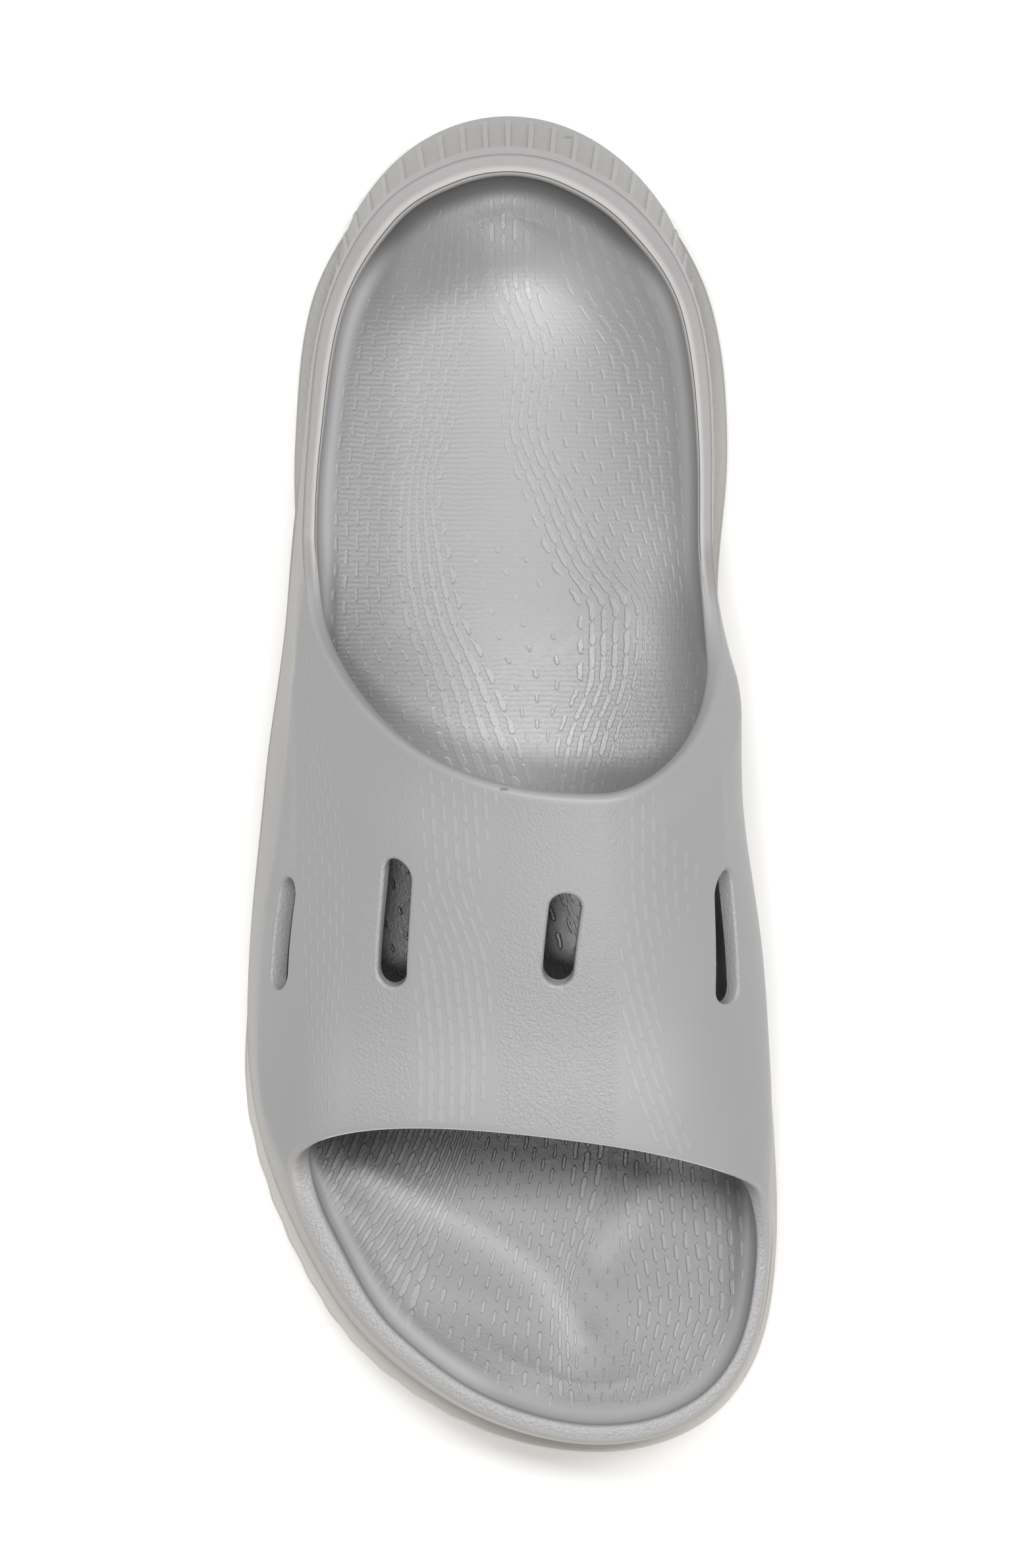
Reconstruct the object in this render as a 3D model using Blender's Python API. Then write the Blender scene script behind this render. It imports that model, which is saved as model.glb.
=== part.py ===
"""Sport slide sandal for the right foot, moulded in foam.

Metres, +Z up. The toe points to -Y and the outer (little toe) side to -X.
A turn round the shoe is an angle in degrees: 0 at the heel, 180 at the toe,
positive along the outer side and negative along the inner side.
"""

import functools
import math

import bmesh
import bpy
import numpy as np

# Driving sizes of the whole shoe
LENGTH = 0.2986
WIDTH = 0.120
TOE_SWING = 0.0195  # how far the toe's tip lies to the inner side of the heel's tip
RIM_HEIGHT = 0.050  # top of the heel's rim over the floor
INSTEP_HEIGHT = 0.093  # outside of the strap over the floor, at its rear edge
TOE_SPRING = 0.0165
FLARE = 0.0094  # how far the heel slopes out from its rim to the sole's edge

# Walls and layers
WALL = 0.0042
FLOOR = 0.0045
CUP_WIDTH = 0.0100  # from the rim's inner edge to the flat of the heel's cup
CUP_SIDE = 0.45  # the cup's width along the foot's sides, as a share of that
CUP_TOE = 0.40  # what it gains there towards the toe's tip
CUP_LIFT = 0.0030
SIDE_LIFT = 0.35  # share of that lift which the footbed's sides keep towards the toe
END_LIFT = 0.22  # share of the footbed's half length over which its two ends lift
LEDGE = 0.0012
OUTSOLE = 0.0070
STEP = 0.0030  # how far the outsole's band stands out under the midsole
BULGE = 0.0040
GAP = 0.0003

# Heel ribs and tread
RIB_HEIGHT = 0.0011
RIBS_PER_SEGMENT = 2
RIB_SWEEP = 9.0  # degrees that a rib's foot turns back towards the heel
RIB_FOOT = 0.22  # half of a rib's width, as a share of the ribs' pitch
RIB_REACH = 75.0  # turn at which the ground between the ribs is back at the face
GROOVE = 0.0028
BAR_SHARE = 0.62  # a bar's length as a share of the bars' pitch
BAR_SLOPE = 0.0009
BAR_WAVE = 0.0022
WAVES_ACROSS = 2.5
BAND_SHARE = 0.8  # how much of the midsole's overhang the band stays back by

# Slots of the strap
SLOT_WIDTH = 0.0070
SLOT_LENGTH = 0.0297
SLOT_ROUND = 0.0009
SLOT_MARGIN = 0.0035
WALL_BLEND = 0.12  # share of the strap's arc over which its wall takes up the rim's width

# Corners where the strap's edges run into the rim
REAR_LIFT = 0.0042
REAR_RUN = 0.0190  # length of rim over which it rises into the strap's rear edge
FRONT_LIFT = 0.0026
FRONT_RUN = 0.0070
CORNER_REACH = 0.0150  # how far from a corner its points are evened out
CORNER_ROUNDS = 3

# Where the strap leaves the rim, as turns: outer rear, outer front, inner rear, inner front
STRAP_TURNS = {"outer": (74.5, 124.5), "inner": (75.0, 127.5)}

# Half widths from the axis line, as shares of WIDTH
OUTLINE_ROWS = (
    # turn, outer, inner
    (0, 0.622, 0.622),
    (15, 0.620, 0.606),
    (30, 0.593, 0.569),
    (45, 0.556, 0.507),
    (60, 0.505, 0.424),
    (75, 0.475, 0.342),
    (90, 0.511, 0.324),
    (105, 0.599, 0.373),
    (120, 0.697, 0.428),
    (135, 0.752, 0.509),
    (150, 0.804, 0.611),
    (165, 0.812, 0.705),
    (180, 0.770, 0.770),
)

# The rim: its inset from the outline as a share of FLARE, its top and the seam under it as shares of
# RIM_HEIGHT, and its width as a share of WALL
RIM_ROWS = (
    # turn, outer inset, inner inset, outer top, inner top, outer seam, inner seam, outer width, inner width
    (0, 1.00, 1.00, 1.00, 1.00, 0.90, 0.90, 0.88, 0.88),
    (15, 0.88, 0.91, 1.00, 1.00, 0.90, 0.90, 0.98, 0.98),
    (30, 0.56, 0.63, 0.985, 0.99, 0.885, 0.89, 0.97, 1.05),
    (45, 0.38, 0.40, 0.955, 0.97, 0.845, 0.875, 0.70, 0.70),
    (60, 0.30, 0.38, 0.93, 0.965, 0.80, 0.86, 0.70, 0.72),
    (75, 0.16, 0.02, 0.92, 0.97, 0.75, 0.845, 0.95, 0.90),
    (82, 0.18, -0.36, 0.90, 0.97, 0.71, 0.835, 1.00, 1.00),
    (90, 0.20, -0.33, 0.87, 0.965, 0.67, 0.82, 1.00, 1.00),
    (105, 0.25, -0.12, 0.83, 0.94, 0.65, 0.79, 1.00, 1.00),
    (120, 0.38, 0.06, 0.80, 0.89, 0.66, 0.755, 1.45, 0.95),
    (135, 0.44, 0.19, 0.81, 0.85, 0.69, 0.735, 1.45, 0.70),
    (150, 0.48, 0.21, 0.83, 0.84, 0.71, 0.725, 1.08, 0.75),
    (165, 0.37, 0.23, 0.84, 0.84, 0.72, 0.72, 1.02, 0.95),
    (180, 0.26, 0.26, 0.84, 0.84, 0.72, 0.72, 1.04, 1.04),
)

# The sole's side: step of the midsole's foot as a share of STEP, swelling of its face as a share of BULGE
SIDE_ROWS = (
    # turn, outer step, inner step, outer swell, inner swell
    (0, 0.00, 0.00, 0.10, 0.10),
    (30, 0.20, 0.20, 0.15, 0.15),
    (45, 1.00, 0.90, 0.20, 0.20),
    (60, 1.00, 1.00, 0.40, 0.20),
    (75, 0.60, 1.00, 0.80, 0.10),
    (90, 0.25, 1.00, 1.00, 0.10),
    (105, 0.90, 1.00, 0.80, 0.30),
    (120, 1.00, 1.00, 0.40, 0.30),
    (150, 1.00, 0.90, 0.20, 0.20),
    (180, 0.90, 0.90, 0.10, 0.10),
)

# Lengthwise form: the footbed as a share of RIM_HEIGHT, the underside as a share of TOE_SPRING
PROFILE_ROWS = (
    # along (0 heel, 1 toe), footbed, underside
    (0.00, 0.760, 0.50),
    (0.05, 0.735, 0.16),
    (0.11, 0.725, 0.00),
    (0.25, 0.735, 0.00),
    (0.38, 0.740, 0.00),
    (0.47, 0.700, 0.10),
    (0.56, 0.650, 0.00),
    (0.68, 0.615, 0.00),
    (0.78, 0.620, 0.03),
    (0.88, 0.655, 0.33),
    (0.95, 0.700, 0.68),
    (1.00, 0.735, 1.00),
)

# The strap's sections from its rear edge to its front edge
STRAP_ROWS = (
    # along, crown place (share of LENGTH), crown height (share of INSTEP_HEIGHT), outer rise, inner rise
    # (shares of the height), outer lean, inner lean, skew (shares of LENGTH, and of the width), inner swell
    # (share of the inner half)
    (0.00, -0.017, 1.000, 0.32, 0.38, -0.072, -0.085, 0.00, 0.24),
    (0.33, -0.095, 0.930, 0.60, 0.58, -0.012, -0.010, -0.05, 0.06),
    (0.67, -0.179, 0.835, 0.60, 0.58, 0.006, 0.004, -0.10, 0.00),
    (1.00, -0.262, 0.735, 0.54, 0.52, 0.030, 0.012, -0.14, 0.00),
)
CROWN_SIDE = 0.165  # the crown's place to the inner side of the middle, as a share of WIDTH
OUTER_FLAT = 0.64  # how far the crown's flat runs to the outer side, as a share of that half
INNER_FLAT = 0.60
WALL_LEAN = 0.11  # how far the outer wall leans in as it rises, as a share of its half

# The slots: place across the strap and along it, and length
SLOT_ROWS = (
    # across (share of the arc), along, length (share of SLOT_LENGTH)
    (0.062, 0.565, 0.84),
    (0.294, 0.475, 0.98),
    (0.558, 0.425, 0.73),
    (0.847, 0.505, 1.00),
)

# The tread's bars: first and last place along the sole and number of bars
BAR_ROWS = (
    # from, to (shares of LENGTH from the heel), bars
    (0.045, 0.395, 7),
    (0.535, 0.950, 9),
)

# How finely the forms are cut
HEEL_SEGMENTS = 10
RIBBED_SEGMENTS = 8
STRAP_SEGMENTS = 14
TOE_SEGMENTS = 10
ACROSS_SEGMENTS = (1, 5, 5, 6, 2)  # between the slots' blocks, from the outer side to the inner
SLOT_CELLS = 4
FOOTBED_COLUMNS = 8
TREAD_COLUMNS = 10
EDGE_ROWS = 6
SECTION_POINTS = 49
SIDE_LEVELS = (0.0, 0.10, 0.32, 0.60, 0.86, 1.0)
WALL_ANGLES = (30, 60, 90)  # of the quarter round that the inner wall follows down to the footbed
UNDER_ANGLES = (50, 90)
SOLE_COLUMNS = 2
PLAIN_ROWS = (0.012, 0.028, 0.971, 0.988)  # the tread's rows without bars, as shares of LENGTH
WAVE_FADE = 6  # the bars' wave is whole from this fraction of the rows inwards

HALF_TURN = 180.0


def slopes(places, values):
    """Tangents that never overshoot: the harmonic mean of the two neighbouring slopes."""
    steps = np.diff(values) / np.diff(places)
    inner = np.zeros(len(values))
    same = steps[:-1] * steps[1:] > 0
    before = steps[:-1][same]
    after = steps[1:][same]
    inner[1:-1][same] = 2 * before * after / (before + after)
    inner[0] = steps[0]
    inner[-1] = steps[-1]
    return inner


def through(places, values, at):
    """A smooth curve through the values, read at any places."""
    places = np.asarray(places, float)
    values = np.asarray(values, float)
    at = np.clip(np.asarray(at, float), places[0], places[-1])
    tangents = slopes(places, values)
    left = np.clip(np.searchsorted(places, at, side="right") - 1, 0, len(places) - 2)
    span = places[left + 1] - places[left]
    t = (at - places[left]) / span
    rise = values[left + 1] - values[left]
    bend = tangents[left] * span - rise
    other = rise - tangents[left + 1] * span
    return values[left] + t * rise + t * (1 - t) * ((1 - t) * bend + t * other)


def by_turn(rows, outer, inner, turn):
    """A column pair of a table of turns, read at signed turns and smooth at heel and toe."""
    table = np.array(rows, float)
    places = np.concatenate([table[-2:-1, 0] - 360, -table[::-1, 0], table[1:, 0], 360 - table[-2:-1, 0]])
    values = np.concatenate([table[-2:-1, outer], table[::-1, inner], table[1:, outer], table[-2:-1, inner]])
    return through(places, values, turn)


def column(rows, index, at):
    table = np.array(rows, float)
    return through(table[:, 0], table[:, index], at)


def along_of(y):
    return 0.5 - y / LENGTH


def edge(turn):
    """The shoe's outline in plan."""
    angle = np.radians(turn)
    half = WIDTH * by_turn(OUTLINE_ROWS, 1, 2, turn)
    axis = TOE_SWING * (1 - np.cos(angle)) / 2
    return np.stack([axis - half * np.sin(angle), LENGTH / 2 * np.cos(angle)], axis=-1)


def outward(turn):
    """The outline's outward normal in plan."""
    step = 0.5
    run = edge(turn + step) - edge(turn - step)
    normal = np.stack([run[..., 1], -run[..., 0]], axis=-1)
    return normal / np.linalg.norm(normal, axis=-1, keepdims=True)


def plan_point(turn, inset, z):
    flat = edge(turn) - outward(turn) * np.asarray(inset)[..., None]
    return np.concatenate([flat, np.broadcast_to(z, flat.shape[:-1])[..., None]], axis=-1)


def rim_inset(turn):
    return FLARE * by_turn(RIM_ROWS, 1, 2, turn)


def rim_width(turn):
    return WALL * by_turn(RIM_ROWS, 7, 8, turn)


def corner_lift(turn):
    """How far the rim rises where it runs into the strap's edges."""
    turn = np.asarray(turn, float)
    rear = np.where(turn > 0, STRAP_TURNS["outer"][0], -STRAP_TURNS["inner"][0])
    front = np.where(turn > 0, STRAP_TURNS["outer"][1], -STRAP_TURNS["inner"][1])
    along = (turn - rear) / (front - rear)
    behind = 1 - np.linalg.norm(edge(turn) - edge(rear), axis=-1) / REAR_RUN
    before = 1 - np.linalg.norm(edge(turn) - edge(front), axis=-1) / FRONT_RUN
    rear_lift = REAR_LIFT * np.clip(behind, 0, 1) ** 2
    front_lift = FRONT_LIFT * np.clip(before, 0, 1) ** 2
    under = REAR_LIFT + (FRONT_LIFT - REAR_LIFT) * along
    return np.where(along < 0, rear_lift, np.where(along > 1, front_lift, under))


def rim_top(turn):
    return RIM_HEIGHT * by_turn(RIM_ROWS, 3, 4, turn) + corner_lift(turn)


def seam_height(turn):
    return RIM_HEIGHT * by_turn(RIM_ROWS, 5, 6, turn)


def underside(y):
    return TOE_SPRING * column(PROFILE_ROWS, 2, along_of(y))


def footbed(y):
    return RIM_HEIGHT * column(PROFILE_ROWS, 1, along_of(y))


def midsole_foot(turn):
    """Inset and height of the midsole's lower edge."""
    inset = STEP * by_turn(SIDE_ROWS, 1, 2, turn)
    return inset, underside(plan_point(turn, inset, 0)[..., 1]) + OUTSOLE + GAP


def side_inset(turn, share):
    """Inset of the sole's side face, from its foot (share 0) to the rim (share 1)."""
    foot = midsole_foot(turn)[0]
    swell = BULGE * by_turn(SIDE_ROWS, 3, 4, turn) * 4 * share * (1 - share)
    return foot + (rim_inset(turn) - foot) * share - swell


def seam_share(turn):
    low = midsole_foot(turn)[1]
    return (seam_height(turn) - low) / (rim_top(turn) - low)


def seam_inset(turn):
    return side_inset(turn, seam_share(turn))


def cup_width(turn):
    """Plan width of the inner wall's foot: widest round the heel."""
    heel = (1 + np.cos(np.radians(turn))) / 2
    toe = (1 - np.cos(np.radians(turn))) / 2
    return CUP_WIDTH * (CUP_SIDE + (1 - CUP_SIDE) * heel**3 + CUP_TOE * toe**6)


def stations():
    """Signed turns of the stations round the shoe, from the heel along the outer side and back."""
    sides = []
    for name in ("outer", "inner"):
        rear, front = STRAP_TURNS[name]
        parts = (
            np.linspace(0, rear, HEEL_SEGMENTS + 1)[:-1],
            np.linspace(rear, front, STRAP_SEGMENTS + 1)[:-1],
            np.linspace(front, HALF_TURN, TOE_SEGMENTS + 1),
        )
        sides.append(np.concatenate(parts))
    return np.concatenate([sides[0], -sides[1][-2:0:-1]])


def strap_turns(along):
    outer = STRAP_TURNS["outer"]
    inner = STRAP_TURNS["inner"]
    return outer[0] + (outer[1] - outer[0]) * along, -(inner[0] + (inner[1] - inner[0]) * along)


def bezier(points, t):
    t = t[:, None]
    a, b, c, d = points
    return a * (1 - t) ** 3 + 3 * b * t * (1 - t) ** 2 + 3 * c * t**2 * (1 - t) + d * t**3


@functools.lru_cache(maxsize=None)
def strap_section(along):
    """The strap's outer section at one place along it, as a dense line from rim to rim."""
    turns = np.array(strap_turns(along))
    outer, inner = plan_point(turns, rim_inset(turns), rim_top(turns))
    read = [float(column(STRAP_ROWS, index, along)) for index in range(1, 9)]
    place, height, outer_rise, inner_rise, outer_lean, inner_lean, skew, swell = read
    crown = np.array([WIDTH * CROWN_SIDE, LENGTH * place, INSTEP_HEIGHT * height])
    outer_half = crown[0] - outer[0]
    inner_half = inner[0] - crown[0]
    outer_up = np.array([WALL_LEAN * outer_half, LENGTH * outer_lean, (crown[2] - outer[2]) * outer_rise])
    inner_up = np.array([swell * inner_half, LENGTH * inner_lean, (crown[2] - inner[2]) * inner_rise])
    level = np.array([1, skew, 0])
    t = np.linspace(0, 1, SECTION_POINTS)
    first = bezier((outer, outer + outer_up, crown - level * outer_half * OUTER_FLAT, crown), t)
    second = bezier((crown, crown + level * inner_half * INNER_FLAT, inner + inner_up, inner), t)
    return np.concatenate([first, second[1:]])


def strap_point(across, along):
    """A point of the strap's outer face; across runs by arc length from the outer rim to the inner."""
    line = strap_section(along)
    run = np.concatenate([[0], np.cumsum(np.linalg.norm(np.diff(line, axis=0), axis=1))])
    return np.array([np.interp(across * run[-1], run, line[:, axis]) for axis in range(3)])


def strap_wall(across, along):
    """The strap's thickness: WALL, but the rim's own width where the strap leaves the rim."""
    outer, inner = (float(rim_width(turn)) / WALL - 1 for turn in strap_turns(along))
    outer *= max(0, 1 - across / WALL_BLEND)
    inner *= max(0, 1 - (1 - across) / WALL_BLEND)
    return WALL * (1 + outer + inner)


def strap_frame(across, along):
    """The strap's point, its normal and its size across and along at one place."""
    small = 0.01
    point = strap_point(across, along)
    low = max(across - small, 0)
    high = min(across + small, 1)
    over = (strap_point(high, along) - strap_point(low, along)) / (high - low)
    back = max(along - small, 0)
    front = min(along + small, 1)
    forth = (strap_point(across, front) - strap_point(across, back)) / (front - back)
    normal = np.cross(forth, over)
    return point, normal / np.linalg.norm(normal), np.linalg.norm(over), np.linalg.norm(forth)


class Shape:
    """Points and faces of one closed solid."""

    def __init__(self):
        self.points = []
        self.faces = []

    def add(self, points):
        """Adds points and returns their numbers in the same layout."""
        points = np.asarray(points, float)
        first = len(self.points)
        flat = points.reshape(-1, 3)
        self.points.extend(flat)
        return np.arange(first, first + len(flat)).reshape(points.shape[:-1])

    def at(self, numbers):
        return np.array([self.points[number] for number in np.asarray(numbers).ravel()]).reshape(
            np.shape(numbers) + (3,)
        )

    def strip(self, one, two):
        """Quads between two open rows of the same length."""
        for index in range(len(one) - 1):
            self.faces.append((one[index], one[index + 1], two[index + 1], two[index]))

    def band(self, one, two):
        """Quads between two closed rings."""
        self.strip(list(one) + [one[0]], list(two) + [two[0]])

    def fan_band(self, fine, coarse, counts):
        """Triangles between a ring and a finer one that has counts segments for each of its own."""
        start = 0
        for index, count in enumerate(counts):
            here = coarse[index]
            following = coarse[(index + 1) % len(coarse)]
            ends = [fine[(start + step) % len(fine)] for step in range(count + 1)]
            middle = (count + 1) // 2
            for step in range(middle):
                self.faces.append((here, ends[step], ends[step + 1]))
            self.faces.append((here, ends[middle], following))
            for step in range(middle, count):
                self.faces.append((following, ends[step], ends[step + 1]))
            start += count

    def leaf(self, ring, height, columns):
        """Fills a ring with rows from side to side; height gives z from the plan and the side's share."""
        half = len(ring) // 2
        shares = np.linspace(0, 1, columns + 1)[1:-1]
        rows = []
        for index in range(1, half):
            left = self.points[ring[index]]
            right = self.points[ring[-index]]
            inside = left + (right - left) * shares[:, None]
            inside[:, 2] = height(inside, np.abs(2 * shares - 1))
            rows.append([ring[index], *self.add(inside), ring[-index]])
        for one, two in zip(rows[:-1], rows[1:]):
            self.strip(one, two)
        for tip, row in ((ring[0], rows[0]), (ring[half], rows[-1])):
            for one, two in zip(row[:-1], row[1:]):
                self.faces.append((tip, one, two))

    def finish(self, name, colour, roughness):
        mesh = bpy.data.meshes.new(name)
        corners = [tuple(map(int, face)) for face in self.faces]
        mesh.from_pydata([tuple(point) for point in self.points], [], corners)
        work = bmesh.new()
        work.from_mesh(mesh)
        bmesh.ops.recalc_face_normals(work, faces=work.faces[:])
        if work.calc_volume(signed=True) < 0:
            bmesh.ops.reverse_faces(work, faces=work.faces[:])
        bmesh.ops.triangulate(work, faces=work.faces[:])
        work.to_mesh(mesh)
        work.free()
        mesh.shade_smooth()
        mesh.set_sharp_from_angle(angle=math.radians(42))
        piece = bpy.data.objects.new(name, mesh)
        bpy.context.scene.collection.objects.link(piece)
        mesh.materials.append(foam(name, colour, roughness))
        return piece


def foam(name, colour, roughness):
    material = bpy.data.materials.new(f"{name}_foam")
    material.use_nodes = True
    shader = material.node_tree.nodes["Principled BSDF"]
    shader.inputs["Base Color"].default_value = (*colour, 1)
    shader.inputs["Roughness"].default_value = roughness
    return material


def cup_foot(turns):
    """Where the inner wall's foot meets the flat of the footbed, in plan."""
    return plan_point(turns, rim_inset(turns) + rim_width(turns) + cup_width(turns), 0)


def footbed_height(points, side_share):
    """The footbed's height: it lifts towards its sides and its two ends."""
    heel_end, toe_end = cup_foot(np.array([0, HALF_TURN]))[:, 1]
    y = points[:, 1]
    heel = np.clip(1 - along_of(y) * 2, 0, 1)
    end = np.maximum((y / heel_end - 1) / END_LIFT + 1, (y / toe_end - 1) / END_LIFT + 1)
    flat = (1 - side_share**2) * (1 - np.clip(end, 0, 1) ** 2)
    return footbed(y) + CUP_LIFT * (SIDE_LIFT + (1 - SIDE_LIFT) * heel) * (1 - flat)


def tray_rings(turns, rim_inner):
    """Rings of the inner wall and of the moulding's hidden underside, shared with the midsole's bowl."""
    start = rim_inner
    foot = cup_foot(turns)
    foot[:, 2] = footbed_height(foot, np.ones(len(foot)))
    away = np.concatenate([outward(turns), np.zeros((len(turns), 1))], axis=1)

    def wall(angle):
        share = np.array([1 - math.cos(angle), 1 - math.cos(angle), math.sin(angle)])
        return start + (foot - start) * share

    def hidden(angle, offset):
        down = np.array([0, 0, -math.sin(angle)])
        return wall(angle) + offset * (away * math.cos(angle) + down)

    return wall, hidden


def strap_rims(turns):
    """The rim's inner edge at every station; under the strap it follows the strap's own wall."""
    inner = plan_point(turns, rim_inset(turns) + rim_width(turns), rim_top(turns))
    count = len(turns)
    for index in range(STRAP_SEGMENTS + 1):
        along = index / STRAP_SEGMENTS
        for across, place in ((0, HEEL_SEGMENTS + index), (1, count - HEEL_SEGMENTS - index)):
            point, normal, _, _ = strap_frame(across, along)
            inner[place] = point - strap_wall(across, along) * normal
    return inner


def slot_blocks(columns):
    """For each slot: its table row and the grid cells that its surround takes up."""
    blocks = []
    for index, (across, along, length) in enumerate(SLOT_ROWS):
        _, _, wide, deep = strap_frame(across, along)
        reach = (SLOT_LENGTH * length / 2 + SLOT_MARGIN) / deep
        first = max(int(math.floor((along - reach) * STRAP_SEGMENTS)), 1)
        last = min(int(math.ceil((along + reach) * STRAP_SEGMENTS)), STRAP_SEGMENTS - 1)
        blocks.append((index, first, last, columns[index], wide, deep))
    return blocks


def across_lines():
    """Grid lines across the strap, and the first line of each slot's block."""
    lines = [0.0]
    starts = []
    edges = []
    for across, along, _ in SLOT_ROWS:
        wide = strap_frame(across, along)[2]
        half = (SLOT_WIDTH / 2 + SLOT_MARGIN) / wide
        edges.append((across - half, across + half))
    for (low, high), cells in zip(edges, ACROSS_SEGMENTS):
        lines.extend(np.linspace(lines[-1], low, cells + 1)[1:])
        starts.append(len(lines) - 1)
        lines.extend(np.linspace(low, high, SLOT_CELLS + 1)[1:])
    lines.extend(np.linspace(lines[-1], 1, ACROSS_SEGMENTS[-1] + 1)[1:])
    return lines, starts


def slot_outline(across, along, length, cells_along, wide, deep, grow):
    """A stadium with as many points as its block's border, as pairs of across and along."""
    radius = SLOT_WIDTH / 2 + grow
    straight = (SLOT_LENGTH * length - SLOT_WIDTH) / 2
    side = np.linspace(-straight, straight, cells_along - 1)
    ends = np.radians(np.linspace(-60, 60, SLOT_CELLS + 1))
    loop = [(-radius, y) for y in side]
    loop += [(radius * math.sin(a), straight + radius * math.cos(a)) for a in ends]
    loop += [(radius, y) for y in side[::-1]]
    loop += [(-radius * math.sin(a), -straight - radius * math.cos(a)) for a in ends]
    return [(across + x / wide, along + y / deep) for x, y in loop]


def add_slot(shape, grids, lines, block):
    """Leads both faces of the strap from a block's border to the slot and rounds its edge."""
    index, first, last, start, wide, deep = block
    across, along, length = SLOT_ROWS[index]
    stop = start + SLOT_CELLS
    border = [(start, j) for j in range(first + 1, last)]
    border += [(k, last) for k in range(start, stop + 1)]
    border += [(stop, j) for j in range(last - 1, first, -1)]
    border += [(k, first) for k in range(stop, start - 1, -1)]
    cells = last - first
    rounds = ((SLOT_ROUND, 0.0), (SLOT_ROUND * 0.3, SLOT_ROUND * 0.3), (0.0, SLOT_ROUND))
    rings = []
    for side, grid in ((0, grids[0]), (1, grids[1])):
        frames = [(lines[k], j / STRAP_SEGMENTS) for k, j in border]
        edge_at = slot_outline(across, along, length, cells, wide, deep, SLOT_ROUND)
        halfway = [((a + c) / 2, (b + d) / 2) for (a, b), (c, d) in zip(frames, edge_at)]
        side_rings = [[grid[k][j] for k, j in border]]
        places = [(halfway, 0.0)]
        for grow, sink in rounds:
            places.append((slot_outline(across, along, length, cells, wide, deep, grow), sink))
        for loop, sink in places:
            points = []
            for u, v in loop:
                point, normal, _, _ = strap_frame(u, v)
                depth = strap_wall(u, v) - sink if side else sink
                points.append(point - depth * normal)
            side_rings.append(list(shape.add(points)))
        rings.append(side_rings)
    for side_rings in rings:
        for one, two in zip(side_rings[:-1], side_rings[1:]):
            shape.band(one, two)
    shape.band(rings[0][-1], rings[1][-1])


def soften_corners(shape, loops, fixed, corners):
    """Evens out the points round the openings' corners: an edge along itself, a face by its neighbours."""
    beside = {}
    for face in shape.faces:
        for one, two in zip(face, face[1:] + face[:1]):
            beside.setdefault(one, set()).add(two)
            beside.setdefault(two, set()).add(one)
    for loop in loops:
        for index, number in enumerate(loop):
            beside[number] = {loop[index - 1], loop[(index + 1) % len(loop)]}
    points = np.array(shape.points)
    near = np.min([np.linalg.norm(points - points[corner], axis=1) for corner in corners], axis=0)
    weights = np.clip(1 - near / CORNER_REACH, 0, 1)
    weights[list(fixed)] = 0
    moving = [number for number in beside if weights[number] > 0]
    for _ in range(CORNER_ROUNDS):
        means = np.array([points[list(beside[number])].mean(axis=0) for number in moving])
        points[moving] += (means - points[moving]) * weights[moving][:, None]
    shape.points = list(points)


def round_edge(shape, outer, inner, outer_next, inner_next):
    """A full round between the outer and the inner loop of an opening."""
    out = shape.at(outer)
    into = shape.at(inner)
    lead = out - shape.at(outer_next)
    lead /= np.linalg.norm(lead, axis=1, keepdims=True)
    other = into - shape.at(inner_next)
    other /= np.linalg.norm(other, axis=1, keepdims=True)
    ahead = lead + other
    for _ in range(2):
        ahead = (np.roll(ahead, 1, axis=0) + 2 * ahead + np.roll(ahead, -1, axis=0)) / 4
    half = (out - into) / 2
    length = np.linalg.norm(half, axis=1, keepdims=True)
    unit = half / length
    ahead -= unit * np.sum(ahead * unit, axis=1, keepdims=True)
    ahead /= np.linalg.norm(ahead, axis=1, keepdims=True)
    last = list(outer)
    for row in range(1, EDGE_ROWS):
        angle = math.pi * row / EDGE_ROWS
        points = (out + into) / 2 + half * math.cos(angle) + ahead * length * math.sin(angle)
        ring = list(shape.add(points))
        shape.band(last, ring)
        last = ring
    shape.band(last, list(inner))


def strap_grid(shape, rim, lines, inside):
    """Numbers of the points of the strap's outer or inner face, by grid line and station."""
    count = len(rim)
    grid = []
    for k, across in enumerate(lines):
        if k == 0:
            grid.append([rim[HEEL_SEGMENTS + j] for j in range(STRAP_SEGMENTS + 1)])
            continue
        if k == len(lines) - 1:
            grid.append([rim[count - HEEL_SEGMENTS - j] for j in range(STRAP_SEGMENTS + 1)])
            continue
        points = []
        for j in range(STRAP_SEGMENTS + 1):
            along = j / STRAP_SEGMENTS
            point, normal, _, _ = strap_frame(across, along)
            points.append(point - strap_wall(across, along) * normal if inside else point)
        grid.append(list(shape.add(points)))
    return grid


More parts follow.
